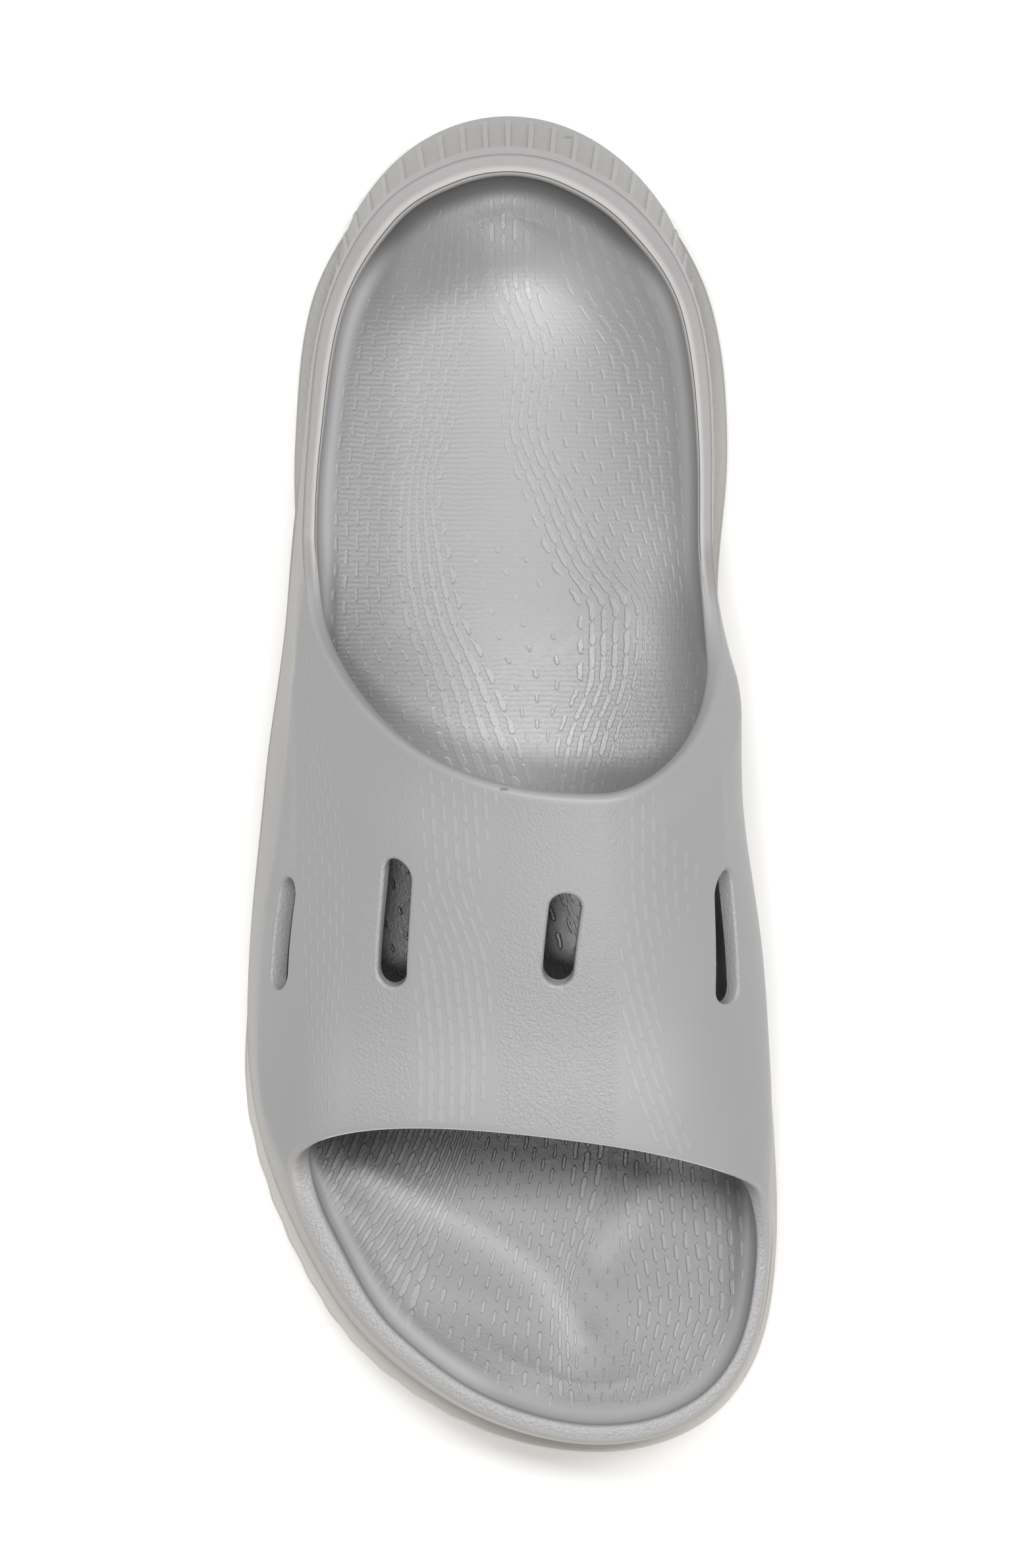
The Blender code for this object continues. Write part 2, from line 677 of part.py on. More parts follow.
def make_upper():
    shape = Shape()
    turns = stations()
    count = len(turns)
    seam = shape.add(plan_point(turns, seam_inset(turns), seam_height(turns)))
    rim = shape.add(plan_point(turns, rim_inset(turns), rim_top(turns)))
    shape.band(seam, rim)

    rim_inner = strap_rims(turns)
    wall, hidden = tray_rings(turns, rim_inner)
    inside = [shape.add(rim_inner)]
    for angle in WALL_ANGLES:
        inside.append(shape.add(wall(math.radians(angle))))
        shape.band(inside[-2], inside[-1])
    shape.leaf(inside[-1], footbed_height, FOOTBED_COLUMNS)

    ledge = shape.add(plan_point(turns, seam_inset(turns) + LEDGE, seam_height(turns)))
    shape.band(seam, ledge)
    under = [ledge]
    for angle in UNDER_ANGLES:
        under.append(shape.add(hidden(math.radians(angle), FLOOR)))
        shape.band(under[-2], under[-1])
    shape.leaf(under[-1], lambda points, side: footbed_height(points, side) - FLOOR, FOOTBED_COLUMNS)

    lines, starts = across_lines()
    grids = [strap_grid(shape, rim, lines, False), strap_grid(shape, inside[0], lines, True)]
    blocks = slot_blocks(starts)
    taken = set()
    for _, first, last, start, _, _ in blocks:
        taken |= {(k, j) for k in range(start, start + SLOT_CELLS) for j in range(first, last)}
    for grid in grids:
        for k in range(len(lines) - 1):
            for j in range(STRAP_SEGMENTS):
                if (k, j) not in taken:
                    quad = (grid[k][j], grid[k + 1][j], grid[k + 1][j + 1], grid[k][j + 1])
                    shape.faces.append(quad)
    for block in blocks:
        add_slot(shape, grids, lines, block)

    last = len(lines) - 1
    rear_stations = [(count - HEEL_SEGMENTS + i) % count for i in range(2 * HEEL_SEGMENTS + 1)]
    front_first = HEEL_SEGMENTS + STRAP_SEGMENTS
    front_stations = list(range(front_first, front_first + 2 * TOE_SEGMENTS + 1))
    openings = (
        (rear_stations, range(1, last), 0, 1),
        (front_stations, range(last - 1, 0, -1), STRAP_SEGMENTS, STRAP_SEGMENTS - 1),
    )
    sides = ((rim, seam, grids[0]), (inside[0], inside[1], grids[1]))
    loops = []
    for arc, steps, j, beside in openings:
        for edge_ring, next_ring, grid in sides:
            loop = [edge_ring[i] for i in arc] + [grid[k][j] for k in steps]
            following = [next_ring[i] for i in arc] + [grid[k][beside] for k in steps]
            loops.append((loop, following))
    ends = (rear_stations[0], rear_stations[-1], front_stations[0], front_stations[-1])
    corners = [ring[i] for ring in (rim, inside[0]) for i in ends]
    fixed = np.concatenate([seam, *inside[2:], *under])
    soften_corners(shape, [loop for loop, _ in loops], fixed, corners)
    for (outer, outer_next), (inner, inner_next) in zip(loops[::2], loops[1::2]):
        round_edge(shape, outer, inner, outer_next, inner_next)
    return shape.finish("upper", (0.40, 0.40, 0.395), 0.5)


def ribbed_stations(turns):
    """Turns of the midsole's face with the heel's ribs between its stations, their heights and counts."""
    places = []
    heights = []
    counts = []
    count = len(turns)
    pitch = 1 / RIBS_PER_SEGMENT
    for index in range(count):
        here = turns[index]
        following = turns[(index + 1) % count]
        if index == count // 2:
            here = -HALF_TURN
        places.append(turns[index])
        heights.append(0.0)
        ribbed = index < RIBBED_SEGMENTS or index >= count - RIBBED_SEGMENTS
        steps = []
        if ribbed:
            for rib in range(RIBS_PER_SEGMENT):
                middle = (rib + 0.5) * pitch
                foot = RIB_FOOT * pitch
                steps += [(middle - foot, 0.0), (middle, 1.0), (middle + foot, 0.0)]
        for share, height in steps:
            places.append(here + (following - here) * share)
            heights.append(height)
        counts.append(len(steps) + 1)
    return np.array(places), np.array(heights), counts


def swept(turns, share):
    """Turns of the heel's ribs at one level: their feet lie further back than their tops."""
    side = np.sin(np.radians(np.clip(np.abs(turns) * 1.6, 0, HALF_TURN)))
    return turns - np.sign(turns) * RIB_SWEEP * side * (1 - share)


def make_midsole():
    shape = Shape()
    turns = stations()
    fine, ribs, counts = ribbed_stations(turns)
    rings = []
    for level in SIDE_LEVELS:
        at = swept(fine, level)
        low = midsole_foot(at)[1]
        share = level * seam_share(at)
        inset = side_inset(at, share)
        fade = 1.0 if 0 < level < 1 else 0.0
        heel = np.clip(1 - np.abs(at) / RIB_REACH, 0, 1)
        inset = inset + RIB_HEIGHT * np.sqrt(heel) - RIB_HEIGHT * ribs * fade
        height = low + (seam_height(at) - GAP - low) * level
        rings.append(shape.add(plan_point(at, inset, height)))
    for one, two in zip(rings[:-1], rings[1:]):
        shape.band(one, two)

    ledge = plan_point(turns, seam_inset(turns) + LEDGE - GAP, seam_height(turns) - GAP)
    bowl = [shape.add(ledge)]
    shape.fan_band(rings[-1], bowl[0], counts)
    hidden = tray_rings(turns, strap_rims(turns))[1]
    for angle in UNDER_ANGLES:
        bowl.append(shape.add(hidden(math.radians(angle), FLOOR + GAP)))
        shape.band(bowl[-2], bowl[-1])
    shape.leaf(bowl[-1], lambda points, side: footbed_height(points, side) - FLOOR - GAP, FOOTBED_COLUMNS)

    rear = swept(turns, 0.0)
    under = plan_point(rear, midsole_foot(rear)[0] + STEP, 0)
    under[:, 2] = underside(under[:, 1]) + OUTSOLE + GAP
    base = shape.add(under)
    shape.fan_band(rings[0], base, counts)
    shape.leaf(base, lambda points, side: underside(points[:, 1]) + OUTSOLE + GAP, SOLE_COLUMNS)
    return shape.finish("midsole", (0.41, 0.405, 0.40), 0.55)


def tread_rows():
    """Places along the sole of the tread's rows, and whether each lies on a bar."""
    rows = []
    for start, stop, bars in BAR_ROWS:
        pitch = LENGTH * (stop - start) / bars
        for index in range(bars):
            first = LENGTH * start + index * pitch
            rows += [
                (first, False),
                (first + BAR_SLOPE, True),
                (first + pitch * BAR_SHARE, True),
                (first + pitch * BAR_SHARE + BAR_SLOPE, False),
            ]
    middle = LENGTH * (BAR_ROWS[0][1] + BAR_ROWS[1][0]) / 2
    rows += [(middle, False), *((LENGTH * place, False) for place in PLAIN_ROWS)]
    return sorted(rows)


def make_outsole():
    shape = Shape()
    rows = tread_rows()
    turns = [math.degrees(math.acos(1 - 2 * place / LENGTH)) for place, _ in rows]
    raised = [bar for _, bar in rows]
    ring_turns = np.array([0, *turns, HALF_TURN, *[-turn for turn in turns[::-1]]])
    on_bar = np.array([False, *raised, False, *raised[::-1]])
    step = midsole_foot(ring_turns)[0]
    edge_inset = np.clip(STEP - step, 0, STEP) * BAND_SHARE

    def ring(inset, rise):
        points = plan_point(ring_turns, inset, 0)
        points[:, 2] = underside(points[:, 1]) + rise
        return shape.add(points)

    tread = ring(edge_inset + STEP, np.where(on_bar, 0, GROOVE))
    lower = ring(edge_inset, GROOVE + BAR_SLOPE)
    upper = ring(edge_inset + GAP, OUTSOLE)
    shape.band(tread, lower)
    shape.band(lower, upper)
    shape.leaf(upper, lambda points, side: underside(points[:, 1]) + OUTSOLE, SOLE_COLUMNS)

    half = len(ring_turns) // 2
    shares = np.linspace(0, 1, TREAD_COLUMNS + 1)[1:-1]
    lines = []
    for index in range(1, half):
        left = shape.points[tread[index]]
        right = shape.points[tread[-index]]
        inside = left + (right - left) * shares[:, None]
        near_end = min(index, half - index) / half
        wave = BAR_WAVE * min(1, near_end * WAVE_FADE) * np.sin(math.pi * shares)
        inside[:, 1] += wave * np.sin(2 * math.pi * WAVES_ACROSS * shares)
        level = underside(inside[:, 1])
        inside[:, 2] = level + (0 if on_bar[index] else GROOVE)
        lines.append([tread[index], *shape.add(inside), tread[-index]])
    for one, two in zip(lines[:-1], lines[1:]):
        shape.strip(one, two)
    for tip, row in ((tread[0], lines[0]), (tread[half], lines[-1])):
        for one, two in zip(row[:-1], row[1:]):
            shape.faces.append((tip, one, two))
    return shape.finish("outsole", (0.42, 0.41, 0.39), 0.6)


def clear_scene():
    for leftover in list(bpy.data.objects):
        bpy.data.objects.remove(leftover, do_unlink=True)


def stand_at_origin(pieces):
    """Moves the meshes so that the middle of the shoe's box stands on the origin."""
    corners = np.array([vertex.co for piece in pieces for vertex in piece.data.vertices])
    low = corners.min(axis=0)
    high = corners.max(axis=0)
    for piece in pieces:
        for vertex in piece.data.vertices:
            vertex.co.x -= (low[0] + high[0]) / 2
            vertex.co.y -= (low[1] + high[1]) / 2
            vertex.co.z -= low[2]


clear_scene()
stand_at_origin([make_upper(), make_midsole(), make_outsole()])
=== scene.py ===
"""Looks of the sport slide sandal: its moulded foam in fine detail, a pale floor and soft studio light.

Metres, +Z up, as in the CAD. The toe points to -Y and the outer (little toe) side to -X.
A turn round the shoe is an angle in degrees: 0 at the heel, 180 at the toe,
positive along the outer side and negative along the inner side.
"""

import math
from functools import partial

import bmesh
import bpy
import numpy as np
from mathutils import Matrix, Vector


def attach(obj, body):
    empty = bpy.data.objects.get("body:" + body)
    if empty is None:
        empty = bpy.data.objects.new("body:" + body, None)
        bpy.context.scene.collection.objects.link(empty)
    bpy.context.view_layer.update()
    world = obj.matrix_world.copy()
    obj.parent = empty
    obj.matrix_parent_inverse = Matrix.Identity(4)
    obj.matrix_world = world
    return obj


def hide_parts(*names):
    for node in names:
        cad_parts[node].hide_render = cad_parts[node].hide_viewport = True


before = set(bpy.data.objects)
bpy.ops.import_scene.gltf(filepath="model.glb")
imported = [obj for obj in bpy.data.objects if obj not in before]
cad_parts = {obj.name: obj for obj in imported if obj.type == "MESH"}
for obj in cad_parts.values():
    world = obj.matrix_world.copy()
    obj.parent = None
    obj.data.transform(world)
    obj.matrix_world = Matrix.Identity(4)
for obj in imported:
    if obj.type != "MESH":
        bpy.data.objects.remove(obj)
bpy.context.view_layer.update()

# Driving sizes of the whole shoe
LENGTH = 0.2986
WIDTH = 0.120
TOE_SWING = 0.0195  # how far the toe's tip lies to the inner side of the heel's tip
RIM_HEIGHT = 0.050  # top of the heel's rim over the floor
INSTEP_HEIGHT = 0.093  # outside of the strap over the floor, at its rear edge
TOE_SPRING = 0.0165
FLARE = 0.0094  # how far the heel slopes out from its rim to the sole's edge

# Walls and layers
WALL = 0.0042
FLOOR = 0.0045
CUP_WIDTH = 0.0100  # from the rim's inner edge to the flat of the heel's cup
CUP_SIDE = 0.45  # the cup's width along the foot's sides, as a share of that
CUP_TOE = 0.40  # what it gains there towards the toe's tip
CUP_LIFT = 0.0055
SIDE_LIFT = 0.35  # share of that lift which the footbed's sides keep towards the toe
END_LIFT = 0.17  # share of the footbed's half length over which its two ends lift
LEDGE = 0.0012
OUTSOLE = 0.0070
STEP = 0.0030  # how far the outsole's band stands out under the midsole
BULGE = 0.0040
GAP = 0.0003

# Tread
GROOVE = 0.0028
BAR_SHARE = 0.62  # a bar's length as a share of the bars' pitch
BAR_SLOPE = 0.0009
BAR_WAVE = 0.0022
WAVES_ACROSS = 2.5
BAND_SHARE = 0.8  # how much of the midsole's overhang the band stays back by

# Slots of the strap
SLOT_WIDTH = 0.0070
SLOT_LENGTH = 0.0297
SLOT_MARGIN = 0.0035
WALL_BLEND = 0.12  # share of the strap's arc over which its wall takes up the rim's width

# Corners where the strap's edges run into the rim
REAR_LIFT = 0.0042
REAR_RUN = 0.0190  # length of rim over which it rises into the strap's rear edge
FRONT_LIFT = 0.0026
FRONT_RUN = 0.0070
CORNER_REACH = 0.0150  # how far from a corner its points are evened out
CORNER_ROUNDS = 3

# Where the strap leaves the rim, as turns: outer rear, outer front, inner rear, inner front
STRAP_TURNS = {"outer": (74.5, 124.5), "inner": (75.0, 127.5)}

# Half widths from the axis line, as shares of WIDTH
OUTLINE_ROWS = (
    # turn, outer, inner
    (0, 0.622, 0.622),
    (15, 0.620, 0.606),
    (30, 0.593, 0.569),
    (45, 0.556, 0.507),
    (60, 0.505, 0.424),
    (75, 0.475, 0.342),
    (90, 0.511, 0.324),
    (105, 0.599, 0.373),
    (120, 0.697, 0.428),
    (135, 0.752, 0.509),
    (150, 0.804, 0.611),
    (165, 0.812, 0.705),
    (180, 0.770, 0.770),
)

# The rim: its inset from the outline as a share of FLARE, its top and the seam under it as shares of
# RIM_HEIGHT, and its width as a share of WALL
RIM_ROWS = (
    # turn, outer inset, inner inset, outer top, inner top, outer seam, inner seam, outer width, inner width
    (0, 1.00, 1.00, 1.00, 1.00, 0.90, 0.90, 0.88, 0.88),
    (15, 0.88, 0.91, 1.00, 1.00, 0.90, 0.90, 0.98, 0.98),
    (30, 0.56, 0.63, 0.985, 0.99, 0.885, 0.89, 0.97, 1.05),
    (45, 0.38, 0.40, 0.955, 0.97, 0.845, 0.875, 0.70, 0.70),
    (60, 0.30, 0.38, 0.93, 0.965, 0.80, 0.86, 0.70, 0.72),
    (75, 0.16, 0.02, 0.92, 0.97, 0.75, 0.845, 0.95, 0.90),
    (82, 0.18, -0.36, 0.90, 0.97, 0.71, 0.835, 1.00, 1.00),
    (90, 0.20, -0.33, 0.87, 0.965, 0.67, 0.82, 1.00, 1.00),
    (105, 0.25, -0.12, 0.83, 0.94, 0.65, 0.79, 1.00, 1.00),
    (120, 0.38, 0.06, 0.80, 0.89, 0.66, 0.755, 1.45, 0.95),
    (135, 0.44, 0.19, 0.81, 0.85, 0.69, 0.735, 1.45, 0.70),
    (150, 0.48, 0.21, 0.83, 0.84, 0.71, 0.725, 1.08, 0.75),
    (165, 0.37, 0.23, 0.84, 0.84, 0.72, 0.72, 1.02, 0.95),
    (180, 0.26, 0.26, 0.84, 0.84, 0.72, 0.72, 1.04, 1.04),
)

# The sole's side: step of the midsole's foot as a share of STEP, swelling of its face as a share of BULGE
SIDE_ROWS = (
    # turn, outer step, inner step, outer swell, inner swell
    (0, 0.00, 0.00, 0.10, 0.10),
    (30, 0.20, 0.20, 0.15, 0.15),
    (45, 1.00, 0.90, 0.20, 0.20),
    (60, 1.00, 1.00, 0.40, 0.20),
    (75, 0.60, 1.00, 0.80, 0.10),
    (90, 0.25, 1.00, 1.00, 0.10),
    (105, 0.90, 1.00, 0.80, 0.30),
    (120, 1.00, 1.00, 0.40, 0.30),
    (150, 1.00, 0.90, 0.20, 0.20),
    (180, 0.90, 0.90, 0.10, 0.10),
)

# Lengthwise form: the footbed as a share of RIM_HEIGHT, the underside as a share of TOE_SPRING
PROFILE_ROWS = (
    # along (0 heel, 1 toe), footbed, underside
    (0.00, 0.760, 0.50),
    (0.05, 0.735, 0.16),
    (0.11, 0.725, 0.00),
    (0.25, 0.735, 0.00),
    (0.38, 0.740, 0.00),
    (0.47, 0.700, 0.10),
    (0.56, 0.650, 0.00),
    (0.68, 0.615, 0.00),
    (0.78, 0.620, 0.03),
    (0.88, 0.655, 0.33),
    (0.95, 0.700, 0.68),
    (1.00, 0.735, 1.00),
)

# The strap's sections from its rear edge to its front edge
STRAP_ROWS = (
    # along, crown place (share of LENGTH), crown height (share of INSTEP_HEIGHT), outer rise, inner rise
    # (shares of the height), outer lean, inner lean, skew (shares of LENGTH, and of the width), inner swell
    # (share of the inner half)
    (0.00, -0.017, 1.000, 0.32, 0.38, -0.072, -0.085, 0.00, 0.24),
    (0.33, -0.095, 0.930, 0.60, 0.58, -0.012, -0.010, -0.05, 0.06),
    (0.67, -0.179, 0.835, 0.60, 0.58, 0.006, 0.004, -0.10, 0.00),
    (1.00, -0.262, 0.735, 0.54, 0.52, 0.030, 0.012, -0.14, 0.00),
)
CROWN_SIDE = 0.165  # the crown's place to the inner side of the middle, as a share of WIDTH
OUTER_FLAT = 0.64  # how far the crown's flat runs to the outer side, as a share of that half
INNER_FLAT = 0.60
WALL_LEAN = 0.11  # how far the outer wall leans in as it rises, as a share of its half

# The slots: place across the strap and along it, and length
SLOT_ROWS = (
    # across (share of the arc), along, length (share of SLOT_LENGTH)
    (0.062, 0.565, 0.84),
    (0.294, 0.475, 0.98),
    (0.558, 0.425, 0.73),
    (0.847, 0.505, 1.00),
)

HALF_TURN = 180.0


def slopes(places, values):
    """Tangents that never overshoot: the harmonic mean of the two neighbouring slopes."""
    steps = np.diff(values) / np.diff(places)
    inner = np.zeros(len(values))
    same = steps[:-1] * steps[1:] > 0
    before = steps[:-1][same]
    after = steps[1:][same]
    inner[1:-1][same] = 2 * before * after / (before + after)
    inner[0] = steps[0]
    inner[-1] = steps[-1]
    return inner


def through(places, values, at):
    """A smooth curve through the values, read at any places."""
    places = np.asarray(places, float)
    values = np.asarray(values, float)
    at = np.clip(np.asarray(at, float), places[0], places[-1])
    tangents = slopes(places, values)
    left = np.clip(np.searchsorted(places, at, side="right") - 1, 0, len(places) - 2)
    span = places[left + 1] - places[left]
    t = (at - places[left]) / span
    rise = values[left + 1] - values[left]
    bend = tangents[left] * span - rise
    other = rise - tangents[left + 1] * span
    return values[left] + t * rise + t * (1 - t) * ((1 - t) * bend + t * other)


def by_turn(rows, outer, inner, turn):
    """A column pair of a table of turns, read at signed turns and smooth at heel and toe."""
    table = np.array(rows, float)
    places = np.concatenate([table[-2:-1, 0] - 360, -table[::-1, 0], table[1:, 0], 360 - table[-2:-1, 0]])
    values = np.concatenate([table[-2:-1, outer], table[::-1, inner], table[1:, outer], table[-2:-1, inner]])
    return through(places, values, turn)


def column(rows, index, at):
    table = np.array(rows, float)
    return through(table[:, 0], table[:, index], at)


def along_of(y):
    return 0.5 - y / LENGTH


def edge(turn):
    """The shoe's outline in plan."""
    angle = np.radians(turn)
    half = WIDTH * by_turn(OUTLINE_ROWS, 1, 2, turn)
    axis = TOE_SWING * (1 - np.cos(angle)) / 2
    return np.stack([axis - half * np.sin(angle), LENGTH / 2 * np.cos(angle)], axis=-1)


def edge_step(turn):
    """The outline's run over one degree of turn."""
    return edge(turn + 0.5) - edge(turn - 0.5)


def unit(vectors):
    return vectors / np.linalg.norm(vectors, axis=-1, keepdims=True)


def outward(turn):
    """The outline's outward normal in plan."""
    run = edge_step(turn)
    return unit(np.stack([run[..., 1], -run[..., 0]], axis=-1))


def plan_point(turn, inset, z):
    flat = edge(turn) - outward(turn) * np.asarray(inset)[..., None]
    return np.concatenate([flat, np.broadcast_to(z, flat.shape[:-1])[..., None]], axis=-1)


def rim_inset(turn):
    return FLARE * by_turn(RIM_ROWS, 1, 2, turn)


def rim_width(turn):
    return WALL * by_turn(RIM_ROWS, 7, 8, turn)


def corner_lift(turn):
    """How far the rim rises where it runs into the strap's edges."""
    turn = np.asarray(turn, float)
    rear = np.where(turn > 0, STRAP_TURNS["outer"][0], -STRAP_TURNS["inner"][0])
    front = np.where(turn > 0, STRAP_TURNS["outer"][1], -STRAP_TURNS["inner"][1])
    along = (turn - rear) / (front - rear)
    behind = 1 - np.linalg.norm(edge(turn) - edge(rear), axis=-1) / REAR_RUN
    before = 1 - np.linalg.norm(edge(turn) - edge(front), axis=-1) / FRONT_RUN
    rear_lift = REAR_LIFT * np.clip(behind, 0, 1) ** 2
    front_lift = FRONT_LIFT * np.clip(before, 0, 1) ** 2
    under = REAR_LIFT + (FRONT_LIFT - REAR_LIFT) * along
    return np.where(along < 0, rear_lift, np.where(along > 1, front_lift, under))


def rim_top(turn):
    return RIM_HEIGHT * by_turn(RIM_ROWS, 3, 4, turn) + corner_lift(turn)


def seam_height(turn):
    return RIM_HEIGHT * by_turn(RIM_ROWS, 5, 6, turn)


def underside(y):
    return TOE_SPRING * column(PROFILE_ROWS, 2, along_of(y))


def footbed(y):
    return RIM_HEIGHT * column(PROFILE_ROWS, 1, along_of(y))


def midsole_foot(turn):
    """Inset and height of the midsole's lower edge."""
    inset = STEP * by_turn(SIDE_ROWS, 1, 2, turn)
    return inset, underside(plan_point(turn, inset, 0)[..., 1]) + OUTSOLE + GAP


def side_inset(turn, share):
    """Inset of the sole's side face, from its foot (share 0) to the rim (share 1)."""
    foot = midsole_foot(turn)[0]
    swell = BULGE * by_turn(SIDE_ROWS, 3, 4, turn) * 4 * share * (1 - share)
    return foot + (rim_inset(turn) - foot) * share - swell


def seam_share(turn):
    low = midsole_foot(turn)[1]
    return (seam_height(turn) - low) / (rim_top(turn) - low)


def seam_inset(turn):
    return side_inset(turn, seam_share(turn))


def cup_width(turn):
    """Plan width of the inner wall's foot: widest round the heel."""
    heel = (1 + np.cos(np.radians(turn))) / 2
    toe = (1 - np.cos(np.radians(turn))) / 2
    return CUP_WIDTH * (CUP_SIDE + (1 - CUP_SIDE) * heel**3 + CUP_TOE * toe**6)


def strap_turns(along):
    outer = STRAP_TURNS["outer"]
    inner = STRAP_TURNS["inner"]
    return outer[0] + (outer[1] - outer[0]) * along, -(inner[0] + (inner[1] - inner[0]) * along)


def bezier(points, t):
    t = t[:, None]
    a, b, c, d = points
    return a * (1 - t) ** 3 + 3 * b * t * (1 - t) ** 2 + 3 * c * t**2 * (1 - t) + d * t**3


# How finely the forms are cut
HEEL_CUTS = 76
STRAP_CUTS = 64
TOE_CUTS = 52
WALL_CUTS = 10
CUP_CUTS = 16
FOOTBED_CUTS = 64
BEAD_CUTS = 16
ACROSS_CUTS = (3, 22, 24, 26, 10)
SLOT_CUTS = 10
SLOT_END = 78  # degrees from a slot's tip to the last point of its round end
SIDE_CUTS = 34
PLAIN_CUTS = 150
TREAD_CUTS = 72
SECTION_CUTS = 96
HIDDEN_CUTS = 12

# Kinds of surface, which the materials' fields are read by
SIDE, BEAD, CUP, BED, STRAP, LINING, SLOT, UNDER = range(8)


def smooth(share):
    share = np.clip(share, 0, 1)
    return share * share * (3 - 2 * share)


def turns_around(heel, strap, toe):
    """Signed turns of the stations round the shoe, from the heel along the outer side and back."""
    sides = []
    for name in ("outer", "inner"):
        rear, front = STRAP_TURNS[name]
        parts = (
            np.linspace(0, rear, heel + 1)[:-1],
            np.linspace(rear, front, strap + 1)[:-1],
            np.linspace(front, HALF_TURN, toe + 1),
        )
        sides.append(np.concatenate(parts))
    return np.concatenate([sides[0], -sides[1][-2:0:-1]])


def strap_section(along, shares):
    """The strap's outer section at one place along it, read at shares of its arc from rim to rim."""
    turns = np.array(strap_turns(along))
    outer, inner = plan_point(turns, rim_inset(turns), rim_top(turns))
    read_at = [float(column(STRAP_ROWS, index, along)) for index in range(1, 9)]
    place, height, outer_rise, inner_rise, outer_lean, inner_lean, skew, swell = read_at
    crown = np.array([WIDTH * CROWN_SIDE, LENGTH * place, INSTEP_HEIGHT * height])
    outer_half = crown[0] - outer[0]
    inner_half = inner[0] - crown[0]
    outer_up = np.array([WALL_LEAN * outer_half, LENGTH * outer_lean, (crown[2] - outer[2]) * outer_rise])
    inner_up = np.array([swell * inner_half, LENGTH * inner_lean, (crown[2] - inner[2]) * inner_rise])
    level = np.array([1, skew, 0])
    t = np.linspace(0, 1, SECTION_CUTS + 1)
    first = bezier((outer, outer + outer_up, crown - level * outer_half * OUTER_FLAT, crown), t)
    second = bezier((crown, crown + level * inner_half * INNER_FLAT, inner + inner_up, inner), t)
    line = np.concatenate([first, second[1:]])
    run = np.concatenate([[0], np.cumsum(np.linalg.norm(np.diff(line, axis=0), axis=1))])
    return np.stack([np.interp(shares * run[-1], run, line[:, axis]) for axis in range(3)], axis=-1)


def between(grid, across, along):
    """Reads a fine grid of the strap at any places."""
    i = np.clip(np.asarray(along, float) * (grid.shape[0] - 1), 0, grid.shape[0] - 1.000001)
    k = np.clip(np.asarray(across, float) * (grid.shape[1] - 1), 0, grid.shape[1] - 1.000001)
    row = i.astype(int)
    col = k.astype(int)
    down = (i - row)[..., None]
    over = (k - col)[..., None]
    upper = grid[row, col] * (1 - over) + grid[row, col + 1] * over
    lower = grid[row + 1, col] * (1 - over) + grid[row + 1, col + 1] * over
    return upper * (1 - down) + lower * down


SKIN_CUTS = (120, 240)  # along and across
SKIN_ALONG, SKIN_ACROSS = (np.linspace(0, 1, cuts + 1) for cuts in SKIN_CUTS)
STRAP_SKIN = np.array([strap_section(along, SKIN_ACROSS) for along in SKIN_ALONG])
STRAP_OVER = np.gradient(STRAP_SKIN, axis=1) * SKIN_CUTS[1]
STRAP_FORTH = np.gradient(STRAP_SKIN, axis=0) * SKIN_CUTS[0]
STRAP_NORMAL = unit(np.cross(STRAP_FORTH, STRAP_OVER))


def strap_wall(across, along):
    """The strap's thickness: WALL, but the rim's own width where the strap leaves the rim."""
    across = np.asarray(across, float)
    outer, inner = strap_turns(np.asarray(along, float))
    outer = (rim_width(outer) / WALL - 1) * np.clip(1 - across / WALL_BLEND, 0, 1)
    inner = (rim_width(inner) / WALL - 1) * np.clip(1 - (1 - across) / WALL_BLEND, 0, 1)
    return WALL * (1 + outer + inner)


def strap_place(across, along, depth):
    """A point at a depth under the strap's outer face."""
    normal = between(STRAP_NORMAL, across, along)
    return between(STRAP_SKIN, across, along) - np.asarray(depth)[..., None] * normal


